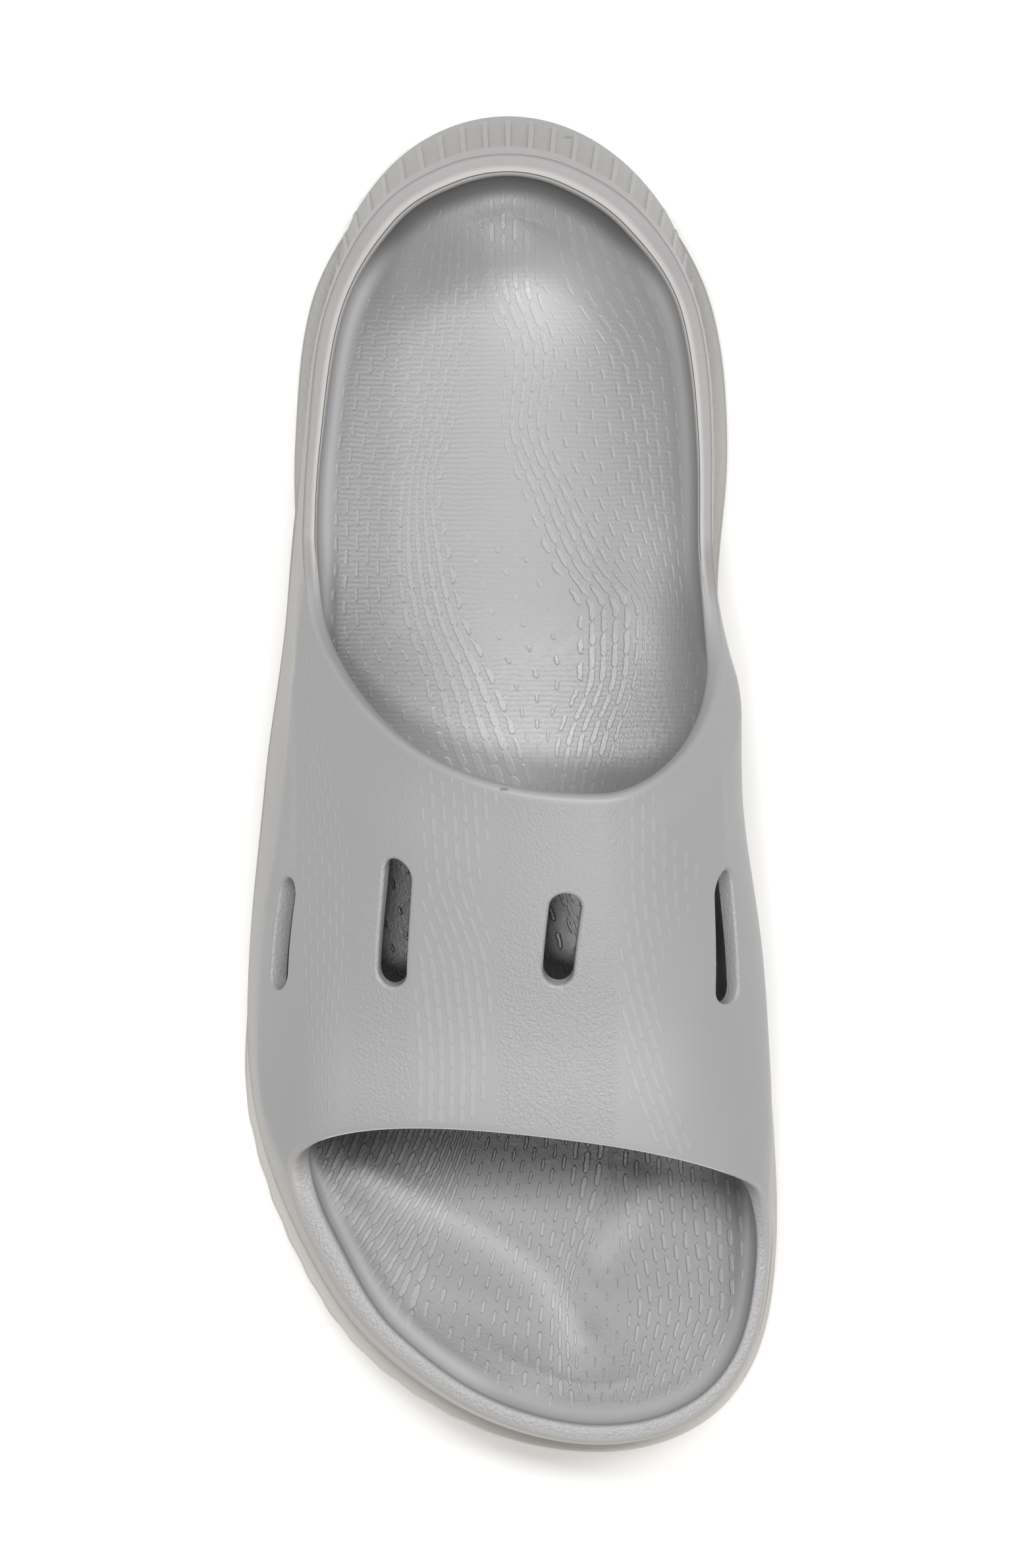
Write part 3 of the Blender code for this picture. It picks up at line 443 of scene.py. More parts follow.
class Shape:
    """Points, kinds of surface and faces of one closed piece."""

    def __init__(self):
        self.points = np.zeros((0, 3))
        self.kinds = np.zeros(0, int)
        self.notes = np.zeros((0, 2))
        self.quads = []
        self.threes = []

    def add(self, points, kind, note=0.0, part=0.0):
        """Adds points and returns their numbers in the same layout; note and part say where each one lies."""
        points = np.asarray(points, float)
        first = len(self.points)
        flat = points.reshape(-1, 3)
        self.points = np.concatenate([self.points, flat])
        self.kinds = np.concatenate([self.kinds, np.full(len(flat), kind)])
        both = [np.broadcast_to(value, points.shape[:-1]).ravel() for value in (note, part)]
        self.notes = np.concatenate([self.notes, np.stack(both, axis=1)])
        return np.arange(first, first + len(flat)).reshape(points.shape[:-1])

    def strip(self, one, two):
        self.quads.append(np.stack([one[:-1], one[1:], two[1:], two[:-1]], axis=1))

    def band(self, one, two):
        self.strip(np.append(one, one[0]), np.append(two, two[0]))

    def bands(self, rings):
        for one, two in zip(rings[:-1], rings[1:]):
            self.band(one, two)

    def fan(self, tip, row):
        self.threes.append(np.stack([np.full(len(row) - 1, tip), row[:-1], row[1:]], axis=1))

    def rows_across(self, ring, columns):
        """Rows of points from side to side of a ring, and the columns' shares of the way."""
        half = len(ring) // 2
        shares = np.linspace(0, 1, columns + 1)[1:-1]
        left = self.points[ring[1:half]]
        right = self.points[ring[:half:-1]]
        return left[:, None] + (right - left)[:, None] * shares[None, :, None], shares

    def fill(self, ring, inside, kind):
        half = len(ring) // 2
        rows = np.concatenate([ring[1:half, None], self.add(inside, kind), ring[:half:-1, None]], axis=1)
        for one, two in zip(rows[:-1], rows[1:]):
            self.strip(one, two)
        self.fan(ring[0], rows[0])
        self.fan(ring[half], rows[-1])

    def leaf(self, ring, height, columns, kind):
        """Fills a ring with rows from side to side; height gives z from the plan and the side's share."""
        inside, shares = self.rows_across(ring, columns)
        inside[..., 2] = height(inside, np.broadcast_to(np.abs(2 * shares - 1), inside.shape[:2]))
        self.fill(ring, inside, kind)

    def finish(self, name):
        quads = np.concatenate(self.quads)
        faces = [tuple(map(int, face)) for face in quads]
        if self.threes:
            faces += [tuple(map(int, face)) for face in np.concatenate(self.threes)]
        mesh = bpy.data.meshes.new(name)
        mesh.from_pydata([tuple(point) for point in self.points], [], faces)
        work = bmesh.new()
        work.from_mesh(mesh)
        bmesh.ops.recalc_face_normals(work, faces=work.faces[:])
        if work.calc_volume(signed=True) < 0:
            bmesh.ops.reverse_faces(work, faces=work.faces[:])
        work.to_mesh(mesh)
        work.free()
        mesh.shade_smooth()
        mesh.set_sharp_from_angle(angle=math.radians(50))
        piece = bpy.data.objects.new(name, mesh)
        bpy.context.scene.collection.objects.link(piece)
        return piece


def cup_foot(turns):
    """Where the inner wall's foot meets the flat of the footbed, in plan."""
    return plan_point(turns, rim_inset(turns) + rim_width(turns) + cup_width(turns), 0)


def footbed_height(points, side_share):
    """The footbed's height: it lifts towards its sides and its two ends."""
    heel_end, toe_end = cup_foot(np.array([0, HALF_TURN]))[:, 1]
    y = points[..., 1]
    heel = np.clip(1 - along_of(y) * 2, 0, 1)
    end = np.maximum((y / heel_end - 1) / END_LIFT + 1, (y / toe_end - 1) / END_LIFT + 1)
    flat = (1 - side_share**2) * (1 - np.clip(end, 0, 1) ** 2)
    return footbed(y) + CUP_LIFT * (SIDE_LIFT + (1 - SIDE_LIFT) * heel) * (1 - flat)


def tray(turns, start):
    """The inner wall and the hidden underside as functions of the quarter round's angle."""
    foot = cup_foot(turns)
    foot[:, 2] = footbed_height(foot, np.ones(len(turns)))
    away = np.concatenate([outward(turns), np.zeros((len(turns), 1))], axis=1)

    def wall(angle):
        share = np.array([1 - math.cos(angle), 1 - math.cos(angle), math.sin(angle)])
        return start + (foot - start) * share

    def hidden(angle, offset):
        return wall(angle) + offset * (away * math.cos(angle) - np.array([0, 0, math.sin(angle)]))

    return wall, hidden


def shoulder(turns):
    """Width of the rounded shoulder inside the heel's rim."""
    return SHOULDER * smooth((SHOULDER_TURN - np.abs(turns)) / SHOULDER_FADE)


def inner_rim(turns):
    """The rim's inner edge at every station; under the strap it follows the strap's own wall."""
    inner = plan_point(turns, rim_inset(turns) + rim_width(turns) + shoulder(turns), rim_top(turns))
    count = len(turns)
    steps = np.arange(STRAP_CUTS + 1)
    along = steps / STRAP_CUTS
    for across, places in ((0.0, HEEL_CUTS + steps), (1.0, count - HEEL_CUTS - steps)):
        level = np.full(len(along), across)
        inner[places] = strap_place(level, along, strap_wall(level, along))
    return inner


def across_lines():
    """Grid lines across the strap, and the first line of each slot's block."""
    lines = [0.0]
    starts = []
    edges = []
    for across, along, _ in SLOT_ROWS:
        wide = float(np.linalg.norm(between(STRAP_OVER, across, along)))
        half = (SLOT_WIDTH / 2 + SLOT_MARGIN) / wide
        edges.append((across - half, across + half))
    for (low, high), cells in zip(edges, ACROSS_CUTS):
        lines.extend(np.linspace(lines[-1], low, cells + 1)[1:])
        starts.append(len(lines) - 1)
        lines.extend(np.linspace(low, high, SLOT_CUTS + 1)[1:])
    lines.extend(np.linspace(lines[-1], 1, ACROSS_CUTS[-1] + 1)[1:])
    return np.array(lines), starts


def slot_outline(across, along, length, cells, wide, deep, grow):
    """A stadium with as many points as its block's border, as places across and along."""
    radius = SLOT_WIDTH / 2 + grow
    straight = (SLOT_LENGTH * length - SLOT_WIDTH) / 2
    ends = np.radians(np.linspace(-SLOT_END, SLOT_END, SLOT_CUTS + 1))
    x = np.concatenate([np.full(cells - 1, -radius), radius * np.sin(ends)])
    y = np.concatenate([np.linspace(-straight, straight, cells - 1), straight + radius * np.cos(ends)])
    return across + np.concatenate([x, -x]) / wide, along + np.concatenate([y, -y]) / deep


SLOT_LIP = 0.0008
SLOT_BURR = 0.0003
SLOT_DRIFT = (0.0, -0.0011, -0.0002, 0.0010)  # how far each slot's inner end lies to its outer end's side
SLOT_LEAD = (0.25, 0.5, 0.75, 0.92)  # places of the rings between a block's border and its slot
SLOT_ROUNDING = (0, 18, 36, 54, 72, 90)  # angles of the rings round its edge


def add_slot(shape, grids, lines, index, start):
    """Leads both faces of the strap from a block's border to the slot and rounds its edge."""
    across, along, length = SLOT_ROWS[index]
    wide = float(np.linalg.norm(between(STRAP_OVER, across, along)))
    deep = float(np.linalg.norm(between(STRAP_FORTH, across, along)))
    reach = (SLOT_LENGTH * length / 2 + SLOT_MARGIN) / deep
    first = max(int(math.floor((along - reach) * STRAP_CUTS)), 1)
    last = min(int(math.ceil((along + reach) * STRAP_CUTS)), STRAP_CUTS - 1)
    stop = start + SLOT_CUTS
    border = [(start, j) for j in range(first + 1, last)]
    border += [(k, last) for k in range(start, stop + 1)]
    border += [(stop, j) for j in range(last - 1, first, -1)]
    border += [(k, first) for k in range(stop, start - 1, -1)]
    border = np.array(border)
    ends = []
    for grid, lip, inside in ((grids[0], SLOT_LIP, False), (grids[1], SLOT_BURR, True)):
        centre = across + inside * SLOT_DRIFT[index] / wide
        outline = partial(slot_outline, centre, along, length, last - first, wide, deep)
        from_u = lines[border[:, 0]]
        from_v = border[:, 1] / STRAP_CUTS
        to_u, to_v = outline(lip)
        places = [(from_u + (to_u - from_u) * t, from_v + (to_v - from_v) * t, 0.0) for t in SLOT_LEAD]
        for angle in np.radians(SLOT_ROUNDING):
            places.append((*outline(lip * (1 - math.sin(angle))), lip * (1 - math.cos(angle))))
        rings = [grid[border[:, 0], border[:, 1]]]
        for u, v, sink in places:
            depth = strap_wall(u, v) - sink if inside else np.full(len(u), sink)
            kind = SLOT if sink > 0 else (LINING if inside else STRAP)
            rings.append(shape.add(strap_place(u, v, depth), kind))
        shape.bands(rings)
        ends.append(rings[-1])
    shape.band(ends[0], ends[1])
    return first, last


def even_out(shape, weights, rounds, loops=()):
    """Moves points to the middle of their neighbours; a loop's points move along it only."""
    quads = np.concatenate(shape.quads)
    pairs = np.concatenate([quads[:, [a, b]] for a, b in ((0, 1), (1, 2), (2, 3), (3, 0))])
    pairs = np.concatenate([pairs, pairs[:, ::-1]])
    on_loop = np.zeros(len(shape.points), bool)
    for loop in loops:
        on_loop[loop] = True
    pairs = [pairs[~on_loop[pairs[:, 0]]]]
    for loop in loops:
        pairs += [np.stack([loop, np.roll(loop, 1)], axis=1), np.stack([loop, np.roll(loop, -1)], axis=1)]
    pairs = np.concatenate(pairs)
    pairs = pairs[weights[pairs[:, 0]] > 0]
    counts = np.maximum(np.bincount(pairs[:, 0], minlength=len(weights)), 1)
    for _ in range(rounds):
        for axis in range(3):
            level = shape.points[:, axis]
            sums = np.bincount(pairs[:, 0], level[pairs[:, 1]], minlength=len(weights))
            shape.points[:, axis] += np.where(weights > 0, weights * (sums / counts - level), 0)


def soften_corners(shape, loops, fixed, corners):
    """Evens out the points round the openings' corners."""
    near = np.min([np.linalg.norm(shape.points - shape.points[corner], axis=1) for corner in corners], axis=0)
    weights = np.clip(1 - near / CORNER_REACH, 0, 1)
    weights[fixed] = 0
    even_out(shape, weights, CORNER_ROUNDS * 12, loops)


# Sections of the openings' edges from their outer to their inner side, in halves of the edge's width
HEEL_EDGE = (
    # side, height
    (1.00, 0.00), (1.00, 0.45), (0.985, 0.70), (0.95, 0.86), (0.88, 0.94), (0.70, 0.975), (0.40, 1.00),
    (0.05, 1.00), (-0.32, 0.985), (-0.60, 0.95), (-0.635, 0.87), (-0.67, 0.92), (-0.76, 0.86), (-0.84, 0.74),
    (-0.91, 0.56), (-0.97, 0.30), (-1.00, 0.00),
)
FRONT_EDGE = (
    # side, height
    (1.00, 0.00), (1.00, 0.50), (1.00, 0.78), (0.985, 0.92), (0.94, 0.98), (0.84, 1.00), (0.66, 0.985),
    (0.42, 0.95), (0.16, 0.89), (-0.10, 0.81), (-0.33, 0.71), (-0.54, 0.59), (-0.72, 0.46), (-0.85, 0.33),
    (-0.93, 0.21), (-0.98, 0.10), (-1.00, 0.00),
)
TOE_EDGE = (
    (1.00, 0.00), (0.985, 0.20), (0.95, 0.38), (0.88, 0.54), (0.78, 0.68), (0.65, 0.79), (0.48, 0.88),
    (0.28, 0.94), (0.06, 0.98), (-0.17, 1.00), (-0.40, 1.00), (-0.60, 0.975), (-0.77, 0.91), (-0.88, 0.79),
    (-0.955, 0.60), (-0.99, 0.34), (-1.00, 0.00),
)
SHOULDER = 0.0014


HEEL_SQUARENESS = 2.8
SHOULDER_TURN = 71  # turn at which the shoulder inside the heel's rim has run out
SHOULDER_FADE = 24
BLEND_ROUNDS = (8, 24)  # of the edge's form from the rim to the strap, at the heel's and at the toe's opening
FRONT_LEAD = 7  # points of the strap's front edge that keep the rim's form
EVEN_ROUNDS = 45
EVEN_BED = 0.012  # how far into the footbed its points are evened out
EVEN_CUP = 9  # rows of the cup that are evened out with them


def round_table(squareness):
    """The section of a rounded edge, as a table like those above."""
    angle = np.pi * np.arange(BEAD_CUTS + 1) / BEAD_CUTS
    side = np.cos(angle)
    over = np.sign(side) * np.abs(side) ** (2 / squareness)
    return np.stack([over, np.abs(np.sin(angle)) ** (2 / squareness)], axis=1)


def blend(values, rounds):
    """Blends the values round a loop with their neighbours'."""
    for _ in range(rounds):
        values = (np.roll(values, 1, axis=0) + 2 * values + np.roll(values, -1, axis=0)) / 4
    return values


def round_edge(shape, outer, inner, outer_next, inner_next, tables, on_strap, spare):
    """An edge between the outer and the inner loop of an opening, by the rim's table and the strap's."""
    out = shape.points[outer]
    into = shape.points[inner]
    ahead = blend(unit(out - shape.points[outer_next]) + unit(into - shape.points[inner_next]), 24)
    half = (out - into) / 2
    length = np.linalg.norm(half, axis=1, keepdims=True)
    side = half / length
    ahead = unit(ahead - side * np.sum(ahead * side, axis=1, keepdims=True))
    rise = length - spare[:, None] / 2
    rim, strap = (np.asarray(table) for table in tables)
    rings = [outer]
    for row in range(1, BEAD_CUTS):
        over, up = (rim[row] * (1 - on_strap[:, None]) + strap[row] * on_strap[:, None]).T[..., None]
        rings.append(shape.add((out + into) / 2 + half * over + ahead * rise * up, BEAD, row, on_strap))
    rings.append(inner)
    shape.bands(rings)


def even_bed(shape, inside):
    """Evens out the footbed's border and the lower half of the wall round it."""
    gap = np.full(len(shape.points), 1.0)
    for step, ring in enumerate(inside):
        gap[ring] = (CUP_CUTS - step) / EVEN_CUP
    bed = shape.kinds == BED
    away = shape.points[bed][:, None, :2] - shape.points[inside[-1]][None, ::3, :2]
    gap[bed] = np.min(np.linalg.norm(away, axis=2), axis=1) / EVEN_BED
    gap[shape.kinds == SIDE] = 1.0
    even_out(shape, smooth(1 - gap), EVEN_ROUNDS)


def make_upper():
    shape = Shape()
    turns = turns_around(HEEL_CUTS, STRAP_CUTS, TOE_CUTS)
    count = len(turns)
    low = plan_point(turns, seam_inset(turns), seam_height(turns))
    high = plan_point(turns, rim_inset(turns), rim_top(turns))
    shares = np.linspace(0, 1, WALL_CUTS + 1)
    outside = [shape.add(low + (high - low) * share, SIDE, share) for share in shares]
    shape.bands(outside)
    seam = outside[0]
    rim = outside[-1]

    rim_inner = inner_rim(turns)
    wall, hidden = tray(turns, rim_inner)
    inside = [shape.add(rim_inner, CUP, 0.0)]
    for share in np.arange(1, CUP_CUTS + 1) / CUP_CUTS:
        inside.append(shape.add(wall(math.radians(90 * share)), CUP, share))
    shape.bands(inside)
    shape.leaf(inside[-1], footbed_height, FOOTBED_CUTS, BED)
    even_bed(shape, inside)

    under = [seam, shape.add(plan_point(turns, seam_inset(turns) + LEDGE, seam_height(turns)), UNDER)]
    for angle in (25, 50, 70, 90):
        under.append(shape.add(hidden(math.radians(angle), FLOOR), UNDER))
    shape.bands(under)
    shape.leaf(under[-1], lambda points, side: footbed_height(points, side) - FLOOR, HIDDEN_CUTS, UNDER)

    lines, starts = across_lines()
    last = len(lines) - 1
    steps = np.arange(STRAP_CUTS + 1)
    places = np.broadcast_to(lines[1:-1, None], (last - 1, STRAP_CUTS + 1))
    alongs = np.broadcast_to(steps / STRAP_CUTS, places.shape)
    skins = ((rim, np.zeros(places.shape), STRAP), (inside[0], strap_wall(places, alongs), LINING))
    grids = []
    for ring, depth, kind in skins:
        middle = shape.add(strap_place(places, alongs, depth), kind)
        outer_end, inner_end = ring[None, HEEL_CUTS + steps], ring[None, count - HEEL_CUTS - steps]
        grids.append(np.concatenate([outer_end, middle, inner_end]))
    taken = np.zeros((last, STRAP_CUTS), bool)
    for index, start in enumerate(starts):
        first, stop = add_slot(shape, grids, lines, index, start)
        taken[start : start + SLOT_CUTS, first:stop] = True
    for grid in grids:
        cells = np.stack([grid[:-1, :-1], grid[1:, :-1], grid[1:, 1:], grid[:-1, 1:]], axis=-1)
        shape.quads.append(cells[~taken])

    rear = np.arange(count - HEEL_CUTS, count + HEEL_CUTS + 1) % count
    front = np.arange(HEEL_CUTS + STRAP_CUTS, HEEL_CUTS + STRAP_CUTS + 2 * TOE_CUTS + 1)
    over = np.arange(1, last)
    loops = []
    for arc, crossing, j, beside in ((rear, over, 0, 1), (front, over[::-1], STRAP_CUTS, STRAP_CUTS - 1)):
        for edge_ring, next_ring, grid in ((rim, outside[-2], grids[0]), (inside[0], inside[1], grids[1])):
            loop = np.concatenate([edge_ring[arc], grid[crossing, j]])
            following = np.concatenate([next_ring[arc], grid[crossing, beside]])
            loops.append((loop, following))
    ends = [rear[0], rear[-1], front[0], front[-1]]
    corners = [*rim[ends], *inside[0][ends]]
    fixed = np.concatenate([seam, *inside[CUP_CUTS // 2 :], *under[1:]])
    soften_corners(shape, [loop for loop, _ in loops], fixed, corners)
    openings = (
        (rear, loops[:2], (HEEL_EDGE, round_table(HEEL_SQUARENESS)), 0),
        (front, loops[2:], (TOE_EDGE, FRONT_EDGE), FRONT_LEAD),
    )
    for at_toe, (arc, pair, tables, past) in enumerate(openings):
        (outer, outer_next), (inner, inner_next) = pair
        place = np.arange(len(outer))
        on_strap = ((place >= len(arc) + past) & (place < len(outer) - past)).astype(float)
        on_strap = blend(on_strap, BLEND_ROUNDS[at_toe])
        spare = np.concatenate([shoulder(turns[arc]), np.zeros(len(outer) - len(arc))])
        first = len(shape.points)
        round_edge(shape, outer, inner, outer_next, inner_next, tables, on_strap, spare)
        shape.notes[first:, 0] += 100 * at_toe
    return shape


# The heel's ribs
RIB_PITCH = 0.0053
RIB_WIDTH = 0.0013
RIB_SLOPE = 0.0003
RIB_RISE = 0.0006
RIB_START = 0.0050  # height over the sole's edge at which the ribs begin
RIB_FADE = 0.0025
RIB_CLEAR = 0.0004  # how far under the upper's seam they end
RIB_END = 66  # turn at which the ribs end
GROUND_END = 70  # turn at which the ground between them is back at the face
RIBS_A_SIDE = 16
RIB_FAN = 460.0  # degrees a rib leans to its side for each metre from the middle
RIB_COLUMNS = (-2.65, -1.65, -0.88, -0.76, -0.58, -0.46, 0.0, 0.46, 0.58, 0.76, 0.88, 1.65)  # mm from a rib

# Fine steps along the sole's sides
SIDE_STEPS = (
    # place (share of the side's height), depth, half width (share)
    (0.34, 0.0007, 0.035),
    (0.66, 0.0006, 0.035),
)
STEP_RUN = 0.16  # share of the height over which a step runs out again
LUG_RISE = 0.0003
LUG_PITCH = 0.0125


def side_columns():
    """Turns of the midsole's columns at its foot, and each one's distance from its nearest rib."""
    fine = np.linspace(-HALF_TURN, HALF_TURN, 7201)
    run = np.concatenate([[0], np.cumsum(np.linalg.norm(np.diff(edge(fine), axis=0), axis=1))])
    middle = np.interp(0, fine, run)
    reach = (RIBS_A_SIDE + 0.5) * RIB_PITCH
    ribs = np.arange(-RIBS_A_SIDE, RIBS_A_SIDE + 1) * RIB_PITCH
    ribbed = np.append((ribs[:, None] + np.array(RIB_COLUMNS) / 1000).ravel(), reach)
    rest = np.linspace(reach, run[-1] - reach, PLAIN_CUTS + 1)[1:-1]
    away = np.concatenate([ribbed, np.full(len(rest), reach)])
    turns = np.interp((middle + np.concatenate([ribbed, rest])) % run[-1], run, fine)
    off = np.abs((away + RIB_PITCH / 2) % RIB_PITCH - RIB_PITCH / 2)
    return turns, np.where(np.abs(away) < reach, off, RIB_PITCH)


def rib_turns(turns, inset):
    """Turns of the columns at an inset: the ribs lean less to the side than the outline's normal."""
    normal = outward(turns)
    tilt = np.degrees(np.arctan2(np.abs(normal[:, 0]), normal[:, 1]))
    lean = np.minimum(np.abs(edge(turns)[:, 0]) * RIB_FAN, tilt)
    fade = smooth((88 - np.abs(turns)) / 30)
    length = np.linalg.norm(edge_step(turns), axis=-1)
    shift = inset * np.tan(np.radians(np.clip((tilt - lean) * fade, 0, 75))) / length
    return turns + np.sign(turns) * shift


def side_steps(turns, level):
    """Fine steps that run along the sole's side, as inset."""
    steps = np.zeros(len(turns))
    for place, depth, half in SIDE_STEPS:
        past = level - place
        steps = steps + depth * (smooth(past / half + 0.5) - smooth((past - STEP_RUN) / STEP_RUN))
    return steps * smooth((np.abs(turns) - 30) / 16)


def make_midsole():
    shape = Shape()
    turns, off = side_columns()
    order = np.argsort(-turns, kind="stable")[::-1]
    turns = turns[order]
    off = off[order]
    rings = []
    for level in np.linspace(0, 1, SIDE_CUTS + 1):
        at = rib_turns(turns, np.maximum(side_inset(turns, level), 0))
        low = midsole_foot(at)[1]
        inset = side_inset(at, level * seam_share(at))
        rise = seam_height(at) - GAP - low
        over = level * rise - RIB_START
        band = smooth(over / RIB_FADE) * smooth(((1 - level) * rise + RIB_CLEAR) / RIB_CLEAR)
        band = band * smooth((RIB_END - np.abs(at)) / 6)
        rib = smooth((RIB_WIDTH / 2 + 0.0002 - off) / RIB_SLOPE) * band
        ground = smooth((GROUND_END - np.abs(at)) / 12)
        inset = inset + RIB_RISE * ground - RIB_RISE * rib + side_steps(at, level)
        rings.append(shape.add(plan_point(at, inset, low + rise * level), SIDE, level, rib * ground))
    shape.bands(rings)
    top = rib_turns(turns, np.maximum(side_inset(turns, 1.0), 0))
    ledge = plan_point(top, seam_inset(top) + LEDGE - GAP, seam_height(top) - GAP)
    bowl = [rings[-1], shape.add(ledge, UNDER)]
    start = plan_point(top, rim_inset(top) + rim_width(top), rim_top(top) - corner_lift(top))
    _, hidden = tray(top, start)
    for angle in (50, 90):
        bowl.append(shape.add(hidden(math.radians(angle), FLOOR + GAP), UNDER))
    shape.bands(bowl)
    heel = -int(np.argmin(np.abs(turns)))
    under_upper = lambda points, side: footbed_height(points, side) - FLOOR - GAP
    shape.leaf(np.roll(bowl[-1], heel), under_upper, HIDDEN_CUTS, UNDER)
    under = plan_point(turns, midsole_foot(turns)[0] + STEP, 0)
    over_outsole = lambda points, side: underside(points[..., 1]) + OUTSOLE + GAP
    under[:, 2] = over_outsole(under, 0)
    base = shape.add(under, UNDER)
    shape.band(rings[0], base)
    shape.leaf(np.roll(base, heel), over_outsole, HIDDEN_CUTS // 2, UNDER)
    return shape


def shift_to(shapes):
    """Moves the points so that the middle of the shoe's box is at the CAD's."""
    points = np.concatenate([shape.points for shape in shapes])
    low = points.min(axis=0)
    high = points.max(axis=0)
    for shape in shapes:
        shape.points -= np.array([(low[0] + high[0]) / 2, (low[1] + high[1]) / 2, 0])
# The tread's bars: first and last place along the sole and number of bars
BAR_ROWS = (
    # from, to (shares of LENGTH from the heel), bars
    (0.045, 0.395, 7),
    (0.535, 0.950, 9),
)
WAVE_FADE = 6  # the bars' wave is whole from this fraction of the rows inwards
ROW_TURN = 1.2  # degrees between the rows that aren't a bar's
ROW_CLEAR = 0.0003
LIP = 0.0006  # rounding of the outsole's edges


def tread_rows():
    """Places along the sole of the tread's rows, and whether each lies on a bar."""
    bars = []
    for start, stop, count in BAR_ROWS:
        pitch = LENGTH * (stop - start) / count
        bars += [(LENGTH * start + index * pitch, pitch * BAR_SHARE) for index in range(count)]
    rows = []
    for first, length in bars:
        last = first + length
        rows += [(first, False), (first + BAR_SLOPE, True), (last, True), (last + BAR_SLOPE, False)]
    taken = np.array([place for place, _ in rows])
    for turn in np.arange(ROW_TURN, HALF_TURN, ROW_TURN):
        place = LENGTH / 2 * (1 - math.cos(math.radians(turn)))
        if np.abs(taken - place).min() > ROW_CLEAR:
            rows.append((place, any(first + BAR_SLOPE < place < first + length for first, length in bars)))
    return sorted(rows)


def make_outsole():
    shape = Shape()
    rows = tread_rows()
    turns = [math.degrees(math.acos(1 - 2 * place / LENGTH)) for place, _ in rows]
    raised = [bar for _, bar in rows]
    ring_turns = np.array([0, *turns, HALF_TURN, *[-turn for turn in turns[::-1]]])
    on_bar = np.array([False, *raised, False, *raised[::-1]])
    lugs = smooth((ring_turns - 112) / 12) * smooth((172 - ring_turns) / 12)
    run = edge(ring_turns)[:, 1] - edge(ring_turns)[:, 0]
    inset = np.clip(STEP - midsole_foot(ring_turns)[0], 0, STEP) * BAND_SHARE
    inset = inset + LUG_RISE * lugs * (1 + np.sin(2 * math.pi * run / LUG_PITCH)) / 2

    def ring(back, rise, kind=SIDE):
        points = plan_point(ring_turns, inset + back, 0)
        points[:, 2] = underside(points[:, 1]) + rise
        return shape.add(points, kind)

    tread = ring(STEP, np.where(on_bar, 0, GROOVE), UNDER)
    rings = [
        tread,
        ring(LIP, GROOVE + BAR_SLOPE - LIP / 2),
        ring(0, GROOVE + BAR_SLOPE + LIP / 2),
        ring(0, OUTSOLE - LIP),
        ring(LIP * 0.3, OUTSOLE - LIP * 0.3),
        ring(LIP, OUTSOLE),
    ]
    shape.bands(rings)
    shape.leaf(rings[-1], lambda points, side: underside(points[..., 1]) + OUTSOLE, HIDDEN_CUTS // 2, SIDE)

    inside, shares = shape.rows_across(tread, TREAD_CUTS)
    index = np.arange(1, len(inside) + 1)
    half = len(inside) + 1
    near_end = np.clip(np.minimum(index, half - index) / half * WAVE_FADE, 0, 1)[:, None]
    wave = np.sin(math.pi * shares) * np.sin(2 * math.pi * WAVES_ACROSS * shares)
    inside[..., 1] += BAR_WAVE * near_end * wave
    inside[..., 2] = underside(inside[..., 1]) + np.where(on_bar[1:half], 0, GROOVE)[:, None]
    shape.fill(tread, inside, UNDER)
    return shape


# Soft ridges: height, reach to each side and plan line, all in mm; a toe ridge runs out slowly
# towards the toe
BED_RELIEF = (
    (1.0, 6.0, ((-33, -88), (-21, -94), (-9, -99.5), (1, -106), (7, -111), (12, -118), (14, -123))),
    (0.5, 5.0, ((30, -93), (25, -99.5), (20, -105))),
)
RELIEF_RUN = 1.2  # how much farther it reaches there, as a share
RELIEF_END = 12  # mm over which that fades at the ridge's ends
RELIEF_TURN = 9  # mm over which it comes in past the crest
STRAP_RELIEF = (
    (0.55, 1.0, ((-46.6, 44), (-47.1, 36), (-47.3, 10), (-47.1, -18))),
    (0.45, 1.0, ((-48.0, 23), (-49.0, 8), (-50.4, -4), (-52.0, -16), (-54.5, -28))),
    (0.40, 1.2, ((45.6, 12), (46.6, -8), (47.2, -20))),
)

# The moulded flow lines: x in mm of guides at places y, the number of the line at each guide, and how strong
# the lines are between two guides
LINE_PITCH = 2.35
REAR_GUIDES = (
    # y, then x of each guide
    (130, -26, -15, -8, -7, 6, 9, 24),
    (112, -34, -18, -7.5, -6.5, 6, 12, 33),
    (95, -38, -19.5, -10, -1, 10, 22, 38),
    (80, -39, -21.5, -13, -1.8, 8, 25, 39),
    (65, -40, -24, -16, 3, 14, 27, 40),
    (50, -40, -25, -13.6, 9, 21, 31, 40),
    (38, -41, -23.6, -10.9, 15.5, 28.5, 34, 40),
    (25, -40, -19.4, -4.8, 15.5, 28, 33.5, 39),
    (10, -38, -16, 1.3, 10.5, 23.5, 30, 38),
    (-5, -36, -11, 6, 9, 20, 28, 38),
    (-60, -22, 3, 21, 27, 36, 42, 52),
)
REAR_NUMBERS = (0, 6.5, 11.5, 15.5, 20.5, 25.5, 31.5)
